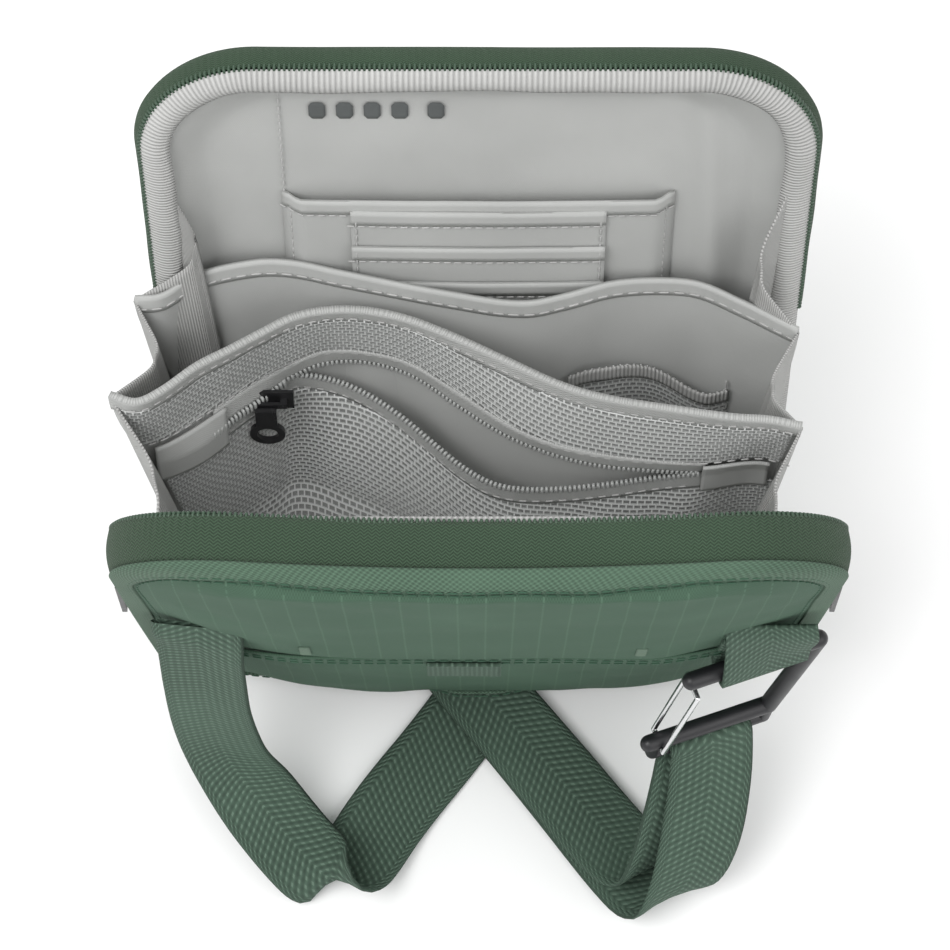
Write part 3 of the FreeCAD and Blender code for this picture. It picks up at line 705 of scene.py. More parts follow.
class Finishes:
    """Every finish of the pouch, made once and given out by the record's slot name."""

    def __init__(self) -> None:
        """Make every material."""
        grey = (0.43, 0.435, 0.425)
        cloths = {
            "shell": Cloth("sage_ripstop", (0.055, 0.105, 0.07), Weave.RIPSTOP, 0.62,
                           thread=(0.075, 0.135, 0.092)),
            "trim": Cloth("sage_trim", (0.088, 0.152, 0.104), Weave.PLAIN, 1.3, depth=0.8,
                          contrast=0.55),
            "zip_tape": Cloth("zip_tape", (0.042, 0.076, 0.045), Weave.KNIT, 1.5, depth=0.8,
                              contrast=0.5),
            "webbing": Cloth("herringbone_webbing", (0.068, 0.112, 0.082), Weave.HERRINGBONE, 1.9,
                             depth=0.7, contrast=0.5, thread=(0.115, 0.17, 0.13)),
            "lining": Cloth("grey_lining", grey, Weave.SMOOTH, 0.5, depth=0.2, contrast=0.06,
                            roughness=0.6),
            "grosgrain": Cloth("grey_grosgrain", (0.46, 0.46, 0.45), Weave.RIB, 2.2, depth=0.7,
                               contrast=0.3),
            "thread": Cloth("stitching", (0.05, 0.12, 0.075), Weave.RIB, 0.5),
        }
        self._made = {slot: cloth_material(cloth) for slot, cloth in cloths.items()}
        self._made["mesh"] = mesh_material("grey_net", (0.6, 0.61, 0.6), 1.9, 0.14)
        hards = {
            "coil": Hard("green_nylon", (0.03, 0.062, 0.036), 0.0, 0.45),
            "grey_coil": Hard("grey_nylon", (0.42, 0.43, 0.42), 0.0, 0.45),
            "slider": Hard("black_enamel", (0.012, 0.012, 0.013), 0.0, 0.3),
            "hook_black": Hard("black_coating", (0.012, 0.012, 0.014), 0.0, 0.42),
            "gate_steel": Hard("polished_steel", (0.72, 0.72, 0.73), 1.0, 0.18),
            "adjuster": Hard("black_plastic", (0.015, 0.015, 0.016), 0.0, 0.4),
        }
        self._made.update({slot: hard_material(hard) for slot, hard in hards.items()})
        self.grey_thread = cloth_material(Cloth("grey_thread", (0.6, 0.6, 0.59),
                                                Weave.RIB, 0.5))
        self.tack_thread = cloth_material(Cloth("tack_thread", (0.14, 0.21, 0.155),
                                                Weave.RIB, 0.6))
        self.grey_tape = cloth_material(Cloth("grey_tape", (0.44, 0.445, 0.435), Weave.KNIT, 1.3,
                                              depth=0.5, contrast=0.22))
        self.print = cloth_material(Cloth("grey_print", (0.13, 0.14, 0.14), Weave.SMOOTH, 0.6))

    def wear(self, piece: bpy.types.Object, slot: str, body: str,
             *replaced: str) -> bpy.types.Object:
        """Give a piece its finish, its body and the CAD nodes that it stands for.

        Args:
            piece: the new piece.
            slot: the record's material slot.
            body: the body that it rides on, or nothing for a piece that rides on none.
            replaced: the nodes that it stands for.

        Returns:
            The same piece.
        """
        piece.data.materials.append(self._made[slot])
        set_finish(piece, slot)
        if body:
            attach(piece, body)
        if replaced:
            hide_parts(*replaced)
        return piece

    @staticmethod
    def sew(piece: bpy.types.Object, material: bpy.types.Material, body: str) -> None:
        """Give stitches or a print on the lining their own material and body.

        Args:
            piece: the new piece.
            material: its thread or ink.
            body: the body that it rides on.
        """
        piece.data.materials.append(material)
        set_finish(piece, "lining")
        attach(piece, body)

    def paint(self, piece: bpy.types.Object, slot: str) -> None:
        """Give a frame node its finish.

        Args:
            piece: the node.
            slot: the record's material slot.
        """
        piece.data.materials.clear()
        piece.data.materials.append(self._made[slot])
        for face in piece.data.polygons:
            face.material_index = 0
        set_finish(piece, slot)


# ---- the zipped halves ------------------------------------------------------------------
def ring_place(leaf: Leaf, profile: Callable[[float, float], Tuple[float, float]],
               low: float, high: float) -> Place:
    """A band that runs round a half's rim.

    Args:
        leaf: the half's upright frame.
        profile: gives (outset, depth) from the share round the rim and the share of the band.
        low: the share of the rim at which the band starts.
        high: the share at which it ends.

    Returns:
        The band's place from its two shares.
    """

    def place(s: float, t: float) -> Vector:
        """A point of the band."""
        share = low + (high - low) * s
        here = RIM.at(share)
        ahead, behind = RIM.at(min(share + 0.002, 1.0)), RIM.at(max(share - 0.002, 0.0))
        tangent = (ahead - behind).normalized()
        outward = Vector((-tangent.y, tangent.x))
        outset, depth = profile(share, t)
        point = here + outward * outset
        return leaf.at(point.x, depth, point.y)

    return place


def rim_length(low: float, high: float) -> float:
    """The rim's length in millimetres between two shares."""
    points = [RIM.at(low + (high - low) * i / 200) for i in range(201)]
    return sum((b - a).length for a, b in zip(points, points[1:]))


@dataclass
class FrontHalf:
    """The zipped front half: tape, coil, trim, its two face layers, lining and pull tab.

    Args:
        finishes: where the pieces get their materials.
        face_depth: how far the outer face stands from the zip.
        lower_depth: how far the layer under it stands.
        slot_height: the outer layer's lower edge, where the strap goes in.
        overlap_top: how far up the lower layer reaches behind it.
        tack_places: where the two bar tacks are sewn.
        body: the body that the half rides on.
    """

    finishes: Finishes
    face_depth: float = 18.2
    lower_depth: float = 16.0
    slot_height: float = 96.0
    overlap_top: float = 112.0
    tack_places: Pair = (-41.0, 38.5)
    body: str = "pouch_front"

    def trim_share(self, share: float) -> float:
        """How far in from the rim the trim band reaches, as a share of the way to the face."""
        gap = (RIM.at(share) - FACE.at(share)).length
        return min(0.62, 7.0 / math.hypot(gap, 8.7))

    @staticmethod
    def slack(x: float, height: float) -> float:
        """How far the middle of the top edge sags forward."""
        return 3.6 * smooth(height, 140, 187) * max(0.0, math.cos(math.pi * x / 170))

    @staticmethod
    def side_drop(x: float) -> float:
        """How much shallower the face is towards its sides."""
        return 5.0 * smooth(abs(x), 40, 80)

    def shell(self, share: float, k: float, depth: float, lift: float) -> Vector:
        """A point on the domed side.

        Args:
            share: the share round the rim.
            k: 0 at the rim and 1 at the face.
            depth: how far the face stands from the zip.
            lift: how far the point stands off the side.

        Returns:
            The point in millimetres.
        """
        rim, face = RIM.at(share), FACE.at(share)
        flat = rim.lerp(face, k ** 1.15)
        centre = Vector((0, 95))
        flat += (flat - centre).normalized() * lift
        puff = 0.5 * ripple(flat.x, 0, flat.y, 26) + 0.5 * ripple(flat.x, 7, flat.y, 12)
        rise = 0.4 * math.sin(min(k, 1.0) * math.pi / 2) + 0.6 * k
        deep = depth - 9.5 - self.side_drop(flat.x)
        back = -9.2 - deep * rise - lift * k - puff * k
        return FRONT.at(flat.x, back - self.slack(flat.x, flat.y) * (1 - 0.6 * k), flat.y)

    def face_place(self, depth: float, lift: float) -> Place:
        """The whole face, from the trim to its centre.

        Args:
            depth: how far the face stands from the zip.
            lift: how far the layer stands off it.

        Returns:
            The place from the share round the rim and the share towards the centre.
        """

        def place(s: float, t: float) -> Vector:
            """A point of the face, which is domed up to 0.4 of the second share."""
            start = self.trim_share(s) - 0.04
            if t < 0.4:
                return self.shell(s, start + (1 - start) * t / 0.4, depth, lift)
            inner = 1 - (t - 0.4) / 0.6
            edge, centre = FACE.at(s), Vector((0, 100))
            flat = centre + (edge - centre) * inner
            flat += (edge - centre).normalized() * lift * inner
            crown = 1.3 * (1 - inner ** 2) + 0.4 * self.slack(flat.x, flat.y)
            crown -= self.side_drop(flat.x) + 0.3
            puff = 0.5 * ripple(flat.x, 0, flat.y, 26) + 0.35 * ripple(flat.x, 9, flat.y, 55)
            puff += 0.5 * ripple(flat.x, 7, flat.y, 12) * inner
            return FRONT.at(flat.x, -depth - lift - crown - puff, flat.y)

        return place

    def build(self) -> None:
        """Make every piece of the half."""
        f = self.finishes
        top_low, top_high = SIDE_LOW, 1 - SIDE_LOW
        tape_length = rim_length(top_low, top_high)

        def tape_profile(share: float, t: float) -> Pair:
            """The tape's outset and depth, with its edges turned in."""
            sag = 0.5 * ripple(share * 300, t * 6, 2, 9)
            here = RIM.at(share)
            return (0.9 + 0.8 * math.sin(t * math.pi) + 0.4 * sag - 0.5 * t,
                    1.0 - 10.0 * t - self.slack(here.x, here.y))

        tape = grid_piece("front_tape", 260, 8, ring_place(FRONT, tape_profile, top_low, top_high),
                          (tape_length, 10.3), 0.7)
        f.wear(tape, "zip_tape", self.body, "front_zip_tape")

        def trim_place(s: float, t: float) -> Vector:
            """A point of the trim band, which ends in a piped bead."""
            end = self.trim_share(s)
            bead = 0.9 * math.sin(math.pi * min(1.0, t * 1.15)) ** 0.6 if t < 0.87 else 0.0
            return self.shell(s, end * t, self.face_depth, 0.75 + bead)

        trim = grid_piece("front_trim", 300, 12, trim_place, (rim_length(0, 1), 8), 0.8)
        f.wear(trim, "trim", self.body, "front_trim_band")
        lower = grid_piece("front_lower_face", 220, 46, self.face_place(self.lower_depth, -0.8),
                           uv=flat_uv, weld=True, thickness=0.9)
        cut_piece(lower, FRONT, self.overlap_top, False)
        f.wear(lower, "shell", self.body, "front_lower_panel")
        upper = grid_piece("front_upper_face", 260, 56, self.face_place(self.face_depth, 0.0),
                           uv=flat_uv, weld=True, thickness=0.9)
        cut_piece(upper, FRONT, self.slot_height, True)
        f.wear(upper, "shell", self.body, "front_upper_layer")
        self.hems()
        self.lining()
        self.coil()

    def hems(self) -> None:
        """The upper layer's folded lower edge, its stitching, bar tacks and the pull tab."""
        f = self.finishes

        def on_face(x: float, z: float, out: float) -> Vector:
            """A point on the outer layer's lower part, standing out from it."""
            edge = 57.6 + (z - 90) * 0.17
            over = max(0.0, abs(x) - edge) / 24.0
            depth = self.face_depth + 1.0 - (self.face_depth - 9.5) * over ** 1.25
            depth -= self.side_drop(x) * (1 - 0.5 * min(over, 1.0)) + 0.3
            return FRONT.at(x, -depth - out - 0.4 * ripple(x, 0, z, 26), z)

        hem = grid_piece("front_hem", 120, 5, lambda s, t: on_face(
            -77 + 154 * s, self.slot_height + 5.5 * t, 0.75 - 0.5 * t), (154, 5.5), 0.6)
        f.wear(hem, "shell", self.body)
        normal = FRONT.at(0, -1, 0) - FRONT.at(0, 0, 0)
        lines = [sampled(lambda s, z=z, out=out: on_face(-76 + 152 * s, z, out), 60)
                 for z, out in ((100.4, 1.0), (97.2, 1.1))]
        lines.append(sampled(lambda s: self.shell(s, self.trim_share(s) + 0.07,
                                                  self.face_depth, 0.75), 400))
        lines.append(sampled(lambda s: self.shell(s, self.trim_share(s) * 0.9,
                                                  self.face_depth, 1.35), 400))
        marks = [mark for line in lines for mark in along(line, 3.0, normal)]
        stitches = beads("front_stitches", marks, Vector((2.1, 0.45, 0.35)))
        f.wear(stitches, "thread", self.body)
        tacks = []
        for x in self.tack_places:
            rows = sampled(lambda s, x=x: on_face(x, 108.0 + 9.0 * s, 0.45), 8)
            tacks += along(rows, 0.6, normal)
        tack = beads("front_tacks", tacks, Vector((0.5, 2.6, 0.5)))
        f.wear(tack, "thread", self.body, "front_bar_tacks")
        tack.data.materials[0] = f.tack_thread

        def tab_place(s: float, t: float) -> Vector:
            """A point of the pull tab, folded in two: down in front and up behind."""
            turn = t * 2 - 1
            z = 98.5 - 19.0 * (1 - abs(turn))
            front, behind = 1.6, 0.1
            out = front if turn < 0 else behind
            fold = smooth(1 - abs(turn), 0.8, 1.0)
            mid = (front + behind) / 2
            return on_face(-12.5 + 18 * s, z, out + (mid - out) * fold + 0.5 * fold)

        tab = grid_piece("front_tab", 12, 48, tab_place, (18, 40), 0.9)
        f.wear(tab, "webbing", self.body, "front_pull_tab")

    def lining(self) -> None:
        """The grey inside, with its ribbed edge binding."""
        f = self.finishes

        def binding(share: float, t: float) -> Pair:
            """The binding's outset and depth, gently gathered."""
            wave = 0.6 * ripple(share * 400, 0, 7, 10)
            return (-1.3 - 3.2 * t - wave * t, -0.9 - 7.0 * t)

        band = grid_piece("front_binding", 260, 6, ring_place(FRONT, binding, 0, 1),
                          (rim_length(0, 1), 8), 0.6)
        f.wear(band, "grosgrain", self.body, "front_edge_binding")

        def inside(s: float, t: float) -> Vector:
            """A point of the lining: down the side first, then over the flat."""
            rim, centre = RIM.at(s), Vector((0, 100))
            if t < 0.35:
                q = t / 0.35
                edge = rim.lerp(FACE.at(s), 0.04 + 0.9 * q)
                point = centre + (edge - centre) * 0.955
                depth = -5.0 - 6.6 * math.sin(q * math.pi / 2)
            else:
                q = (t - 0.35) / 0.65
                edge = centre + (rim.lerp(FACE.at(s), 0.94) - centre) * 0.955
                point = edge.lerp(centre, q)
                depth = -11.6
            depth += 0.35 * ripple(point.x, 3, point.y, 22)
            depth += 0.9 * self.side_drop(point.x) * smooth(-depth, 5, 11)
            return FRONT.at(point.x, depth, point.y)

        lining = grid_piece("front_inside", 200, 34, inside, uv=flat_uv, weld=True,
                            thickness=0.4)
        f.wear(lining, "lining", self.body, "front_lining", "front_foam")

    def tooth_line(self, share: float, t: float) -> Pair:
        """Where the teeth stand on the tape's free edge."""
        here = RIM.at(share)
        return (0.1, 1.0 - self.slack(here.x, here.y))

    def coil(self) -> None:
        """The zip's teeth along the rim."""
        place = ring_place(FRONT, self.tooth_line, SIDE_LOW, 1 - SIDE_LOW)
        line = sampled(lambda s: place(s, 0), 500)
        normal = FRONT.at(0, -1, 0) - FRONT.at(0, 0, 0)
        teeth = beads("front_teeth", along(line, 1.15, normal), Vector((0.75, 2.4, 1.7)))
        self.finishes.wear(teeth, "coil", self.body, "front_zip_coil")


@dataclass
class RearHalf:
    """The zipped rear half: tape, coil, trim, padded back, lining and its flat pockets.

    Args:
        finishes: where the pieces get their materials.
        body: the body that the half rides on.
    """

    finishes: Finishes
    body: str = "rear_half"

    def build(self) -> None:
        """Make every piece of the half."""
        f = self.finishes
        low, high = SIDE_LOW, 1 - SIDE_LOW
        length = rim_length(low, high)

        def tape_profile(share: float, t: float) -> Pair:
            """The tape's outset and depth, flared at both edges."""
            flare = curve_at([(0, -1.6), (0.3, -0.9), (0.7, -0.5), (1, -1.2)], t)
            return (flare + 0.4 * ripple(share * 300, t * 5, 4, 10), 1.8 + 5.8 * t)

        tape = grid_piece("rear_tape", 260, 8, ring_place(REAR, tape_profile, low, high),
                          (length, 9), 0.6)
        f.wear(tape, "zip_tape", self.body, "rear_zip_tape")
        place = ring_place(REAR, lambda share, t: (-1.9, 2.1), low, high)
        normal = REAR.at(0, -1, 0) - REAR.at(0, 0, 0)
        teeth = beads("rear_teeth", along(sampled(lambda s: place(s, 0), 500), 1.15, normal),
                      Vector((0.75, 2.0, 2.0)))
        f.wear(teeth, "coil", self.body, "rear_zip_coil")

        def trim_profile(share: float, t: float) -> Pair:
            """The trim band's outset and depth, slightly crowned."""
            return (-1.3 - 7.2 * t + 0.6 * math.sin(t * math.pi), 6.8 + 5.6 * t)

        trim = grid_piece("rear_trim", 260, 10, ring_place(REAR, trim_profile, 0, 1),
                          (rim_length(0, 1), 7), 0.8)
        f.wear(trim, "trim", self.body, "rear_trim_band")

        def back(s: float, t: float) -> Vector:
            """A point of the padded back, from its rounded edge to its centre."""
            rim, centre = RIM.at(s), Vector((0, 100))
            point = centre + (rim - centre) * (1 - t) * 0.925
            round_off = math.sqrt(max(0.0, 1 - max(0.0, 1 - t / 0.07) ** 2))
            depth = 11.4 + 1.4 * round_off + 1.4 * smooth(t, 0.05, 0.6)
            return REAR.at(point.x, depth + 0.5 * ripple(point.x, 5, point.y, 30), point.y)

        panel = grid_piece("rear_back", 220, 44, back, uv=flat_uv, weld=True,
                           thickness=0.8)
        f.wear(panel, "shell", self.body, "rear_outer_panel")
        self.inside()
        self.pockets()

    def inside(self) -> None:
        """The grey lining and its ribbed binding."""
        f = self.finishes

        def binding(share: float, t: float) -> Pair:
            """The binding's outset and depth, rolled and gathered."""
            wave = 0.9 * ripple(share * 330, 0, 3, 9)
            return (-1.9 - 7.0 * t - wave * t, 1.6 - 2.4 * math.sin(t * 2.4) + 1.4 * t)

        band = grid_piece("rear_binding", 300, 6, ring_place(REAR, binding, 0, 1),
                          (rim_length(0, 1), 7), 0.7)
        f.wear(band, "grosgrain", self.body, "rear_edge_binding")

        def place(s: float, t: float) -> Vector:
            """A point of the lining, with a long crease on the right."""
            rim, centre = RIM.at(s), Vector((0, 100))
            edge = centre + (rim - centre) * 0.94
            point = edge.lerp(centre, t)
            depth = 2.4 + 5.9 * smooth(t, 0.0, 0.16)
            crease = -1.6 * math.exp(-((point.x - 58 + (point.y - 100) * 0.06) / 3.2) ** 2)
            crease *= smooth(point.y, 40, 90)
            depth += crease + 0.5 * ripple(point.x, 2, point.y, 24)
            return REAR.at(point.x, depth, point.y)

        lining = grid_piece("rear_inside", 260, 60, place, uv=flat_uv, weld=True,
                            thickness=0.4)
        f.wear(lining, "lining", self.body, "rear_lining", "rear_foam", "shielding_film")

    def pockets(self) -> None:
        """The passport pocket, the card tiers, their hems and the printed mark."""
        f = self.finishes
        normal = REAR.at(0, -1, 0) - REAR.at(0, 0, 0)
        grey: List[Matrix] = []

        def panel(name: str, half: float, low: float, high: float, depth: float,
                  node: str) -> None:
            """Sew one flat pocket.

            Args:
                name: the pocket's name.
                half: half its width.
                low: its lower edge.
                high: its upper edge.
                depth: how far it stands from the leaf's plane.
                node: the CAD node that it stands for.
            """

            def place(s: float, t: float) -> Vector:
                """A point of the pocket, which is sewn back to the lining at its sides."""
                x, z = half * (2 * s - 1), low + (high - low) * t
                sag = 0.5 * math.sin(s * math.pi) * smooth(t, 0.5, 1.0)
                side = smooth(abs(2 * s - 1), 0.9, 1.0)
                d = depth - sag + side * max(0.0, 7.6 - depth) * (1 if half > 40 else 0.0)
                return REAR.at(x, d + 0.2 * ripple(x, depth, z, 20), z)

            piece = grid_piece(name, 60, 50, place, (2 * half, high - low), 0.5)
            f.wear(piece, "lining", self.body, node)

            def hem_place(s: float, t: float) -> Vector:
                """A point of the folded hem on its upper edge."""
                q = 1 - (4.5 / (high - low)) * (1 - t)
                return place(s, q) + normal * 0.3

            hem = grid_piece(name + "_hem", 60, 3, hem_place, (2 * half, 4.5), 0.5)
            f.wear(hem, "lining", self.body)
            line = sampled(lambda s: place(s, 1 - 4.9 / (high - low)) + normal * 0.6, 40)
            grey.extend(along(line, 2.6, normal))
            for edge in (0.02, 0.98):
                line = sampled(lambda t, e=edge: place(e, t) + normal * 0.5, 30, 0.0, 0.96)
                grey.extend(along(line, 2.6, normal))

        panel("passport_panel", 47.5, 44, 137, 4.5, "passport_pocket")
        for tier, (top, depth) in enumerate(((134, 3.6), (122, 2.7), (110, 1.8)), 1):
            panel("card_panel_%d" % tier, 31, 62, top, depth, "card_tier_%d" % tier)
        seam = [REAR.at(-47, 7.5, z) for z in range(137, 178, 4)]
        grey.extend(along(seam, 2.6, normal))
        f.sew(beads("rear_stitches", grey, Vector((1.8, 0.4, 0.3))), f.grey_thread, self.body)
        marks = [along([REAR.at(x, 7.55, 165), REAR.at(x + 1, 7.55, 165)], 9, normal)[0]
                 for x in (-38.0, -31.5, -25.0, -18.5, -10.0)]
        f.sew(beads("rear_mark", marks, Vector((4.0, 5.4, 0.12))), f.print, self.body)


# ---- the dividers -----------------------------------------------------------------------
# Each wave is a line of (across, depth) points: the front divider's top edge, the middle of its
# mesh band, the closed edge of its zip and the zip's open lip, and the rear divider's top edge.
ZIP_TOP = [(-89.3, -5.4), (-82.7, -7.5), (-76.5, -4.0), (-68.5, 3.0), (-60.5, 8.0), (-53.5, 12.5),
           (-45.3, 17.3), (-35.9, 19.4), (-26.3, 19.0), (-16.7, 16.5), (-6.0, 11.5), (5.8, 5.2),
           (18.7, -1.9), (30.4, -6.1), (43.3, -8.9), (60.7, -11.6), (70.6, -12.6), (77.5, -14.4)]
ZIP_BAND = [(-89, -7.0), (-78.3, -3.9), (-64.9, 6.1), (-54.8, 14.0), (-46.4, 18.4), (-38.0, 21.6),
            (-27.0, 21.0), (-17.1, 17.7), (-4.9, 9.0), (8.4, -1.1), (20.4, -6.7), (38.3, -10.3),
            (54.5, -11.0), (69.6, -9.6), (77.5, -12.0)]
ZIP_LINE = [(-87, -8.0), (-77, -5.0), (-68.8, -0.2), (-61.2, 7.0), (-53.4, 13.5), (-48, 18.4),
            (-37, 22.4), (-27.2, 22.4), (-16, 18.0), (-4.9, 9.1), (4.8, 1.9), (14.5, -3.1),
            (26.6, -7.4), (38.6, -9.1), (55.5, -9.1), (68, -7.0), (77.5, -9.0)]
ZIP_LIP = [(-78, -6.0), (-68.8, 0.3), (-61.2, 7.4), (-53.4, 14.0), (-49, 18.6), (-43.3, 20.4),
           (-34.6, 20.0), (-27, 17.0), (-19.7, 12.2), (-12.3, 5.9), (-4.9, -0.6), (2.4, -5.7),
           (9.7, -8.1), (20.6, -9.0), (32.8, -9.4), (44.8, -9.2), (54.4, -9.3), (66, -7.5),
           (78, -9.0)]
LIP_HEIGHT = [(-78, 84), (-49, 84.5), (-43.3, 83), (-34.6, 80), (-27, 78), (-19.7, 76.5),
              (-12.3, 75), (-4.9, 74), (2.4, 74), (9.7, 74.5), (20.6, 76), (32.8, 79), (44.8, 82),
              (54.4, 84), (78, 84)]
PEN_TOP = [(-84.9, 3.3), (-77.8, 3.0), (-69.7, 8.1), (-55.5, 9.9), (-45.8, 9.6), (-33.7, 7.0),
           (-21.6, 4.8), (-4.8, 2.2), (11.9, 0.9), (21.4, 2.9), (33.5, 6.5), (45.5, 7.3),
           (55.1, 6.3), (65.6, 0.9), (72.5, -3.4), (78.2, -6.9)]
PEN_RISE = [(-85, 0), (-70, 3), (-55, 6), (-45, 6), (-30, 5), (-10, 3), (10, 1), (30, 2), (50, 2),
            (65, 1), (78, 0)]


@dataclass
class Divider:
    """A cloth leaf that waves.

    Args:
        leaf: its upright frame.
        waves: rows of (height, (across, depth) points), from the foot up.
        rise: how much higher the top edge stands along it.
        left: half the width at the top on the left.
        right: half the width at the top on the right.
    """

    leaf: Leaf
    waves: Sequence[Tuple[float, Sequence[Pair]]]
    rise: Sequence[Pair]
    left: float
    right: float

    def edge(self, side: int, height: float) -> float:
        """Where the leaf ends on one side: drawn in under its top, and round at its foot.

        Args:
            side: -1 for the left and 1 for the right.
            height: millimetres up the leaf.

        Returns:
            The place across.
        """
        drop = max(0.0, 28 - height) / 18
        widest, gather = (self.left, 11.0) if side < 0 else (self.right, 5.0)
        widest -= gather * (1 - smooth(height, 60, 112))
        return side * (widest - 18 * (1 - math.sqrt(max(0.0, 1 - drop ** 2))))

    def depth(self, x: float, height: float) -> float:
        """How far the wave stands behind the leaf's plane.

        Args:
            x: the place across.
            height: millimetres up the leaf.

        Returns:
            The depth in millimetres.
        """
        rows = self.waves
        if height <= rows[0][0]:
            return curve_at(rows[0][1], x)
        for (low, below), (high, above) in zip(rows, rows[1:]):
            if height <= high:
                share = (height - low) / (high - low)
                return curve_at(below, x) * (1 - share) + curve_at(above, x) * share
        return curve_at(rows[-1][1], x)

    def at(self, x: float, depth: float, height: float) -> Vector:
        """A place on the waving leaf, in the row's frame."""
        lift = curve_at(self.rise, x) * smooth(height, 60, 112)
        return self.leaf.at(x, depth + self.depth(x, height), height + lift)

    def arc(self, x: float) -> float:
        """The cloth's own length along its top.

        Args:
            x: a place across.

        Returns:
            The length from the middle to there, negative on the left.
        """
        steps = 24
        top = self.waves[-1][1]
        points = [Vector((x * i / steps, curve_at(top, x * i / steps))) for i in range(steps + 1)]
        return math.copysign(sum((b - a).length for a, b in zip(points, points[1:])), x)

    def panel(self, name: str, low: float, high: float, depth: float, thickness: float,
              inset: float = 0.0, columns: int = 150, rows: int = 30) -> bpy.types.Object:
        """Make a full-width strip of the leaf.

        Args:
            name: the piece's name.
            low: its lower edge.
            high: its upper edge.
            depth: how far it stands behind the wave.
            thickness: its cloth's thickness.
            inset: how far it stops short of the leaf's sides.
            columns: divisions across.
            rows: divisions up.

        Returns:
            The strip.
        """

        def place(s: float, t: float) -> Vector:
            """A point of the strip."""
            z = low + (high - low) * t
            left, right = self.edge(-1, z) + inset, self.edge(1, z) - inset
            x = left + (right - left) * s
            return self.at(x, depth + 0.25 * ripple(x, depth, z, 18), z)

        return grid_piece(name, columns, rows, place, (172, high - low), thickness,
                          uv=lambda p: (self.arc(p.x), p.z))


FLAT = [(-90.0, 0.0), (90.0, 0.0)]
ZIP_LOW = [(across, 0.8 * depth) for across, depth in ZIP_LINE]
ZIP_CLOTH = Divider(ZIP_DIVIDER, [(14, FLAT), (40, ZIP_LOW), (85, ZIP_LINE), (92, ZIP_BAND),
                                  (112, ZIP_TOP)], FLAT, 89.3, 78.0)
PEN_CLOTH = Divider(PEN_DIVIDER, [(14, FLAT), (40, PEN_TOP), (112, PEN_TOP)], PEN_RISE, 84.9,
                    78.4)


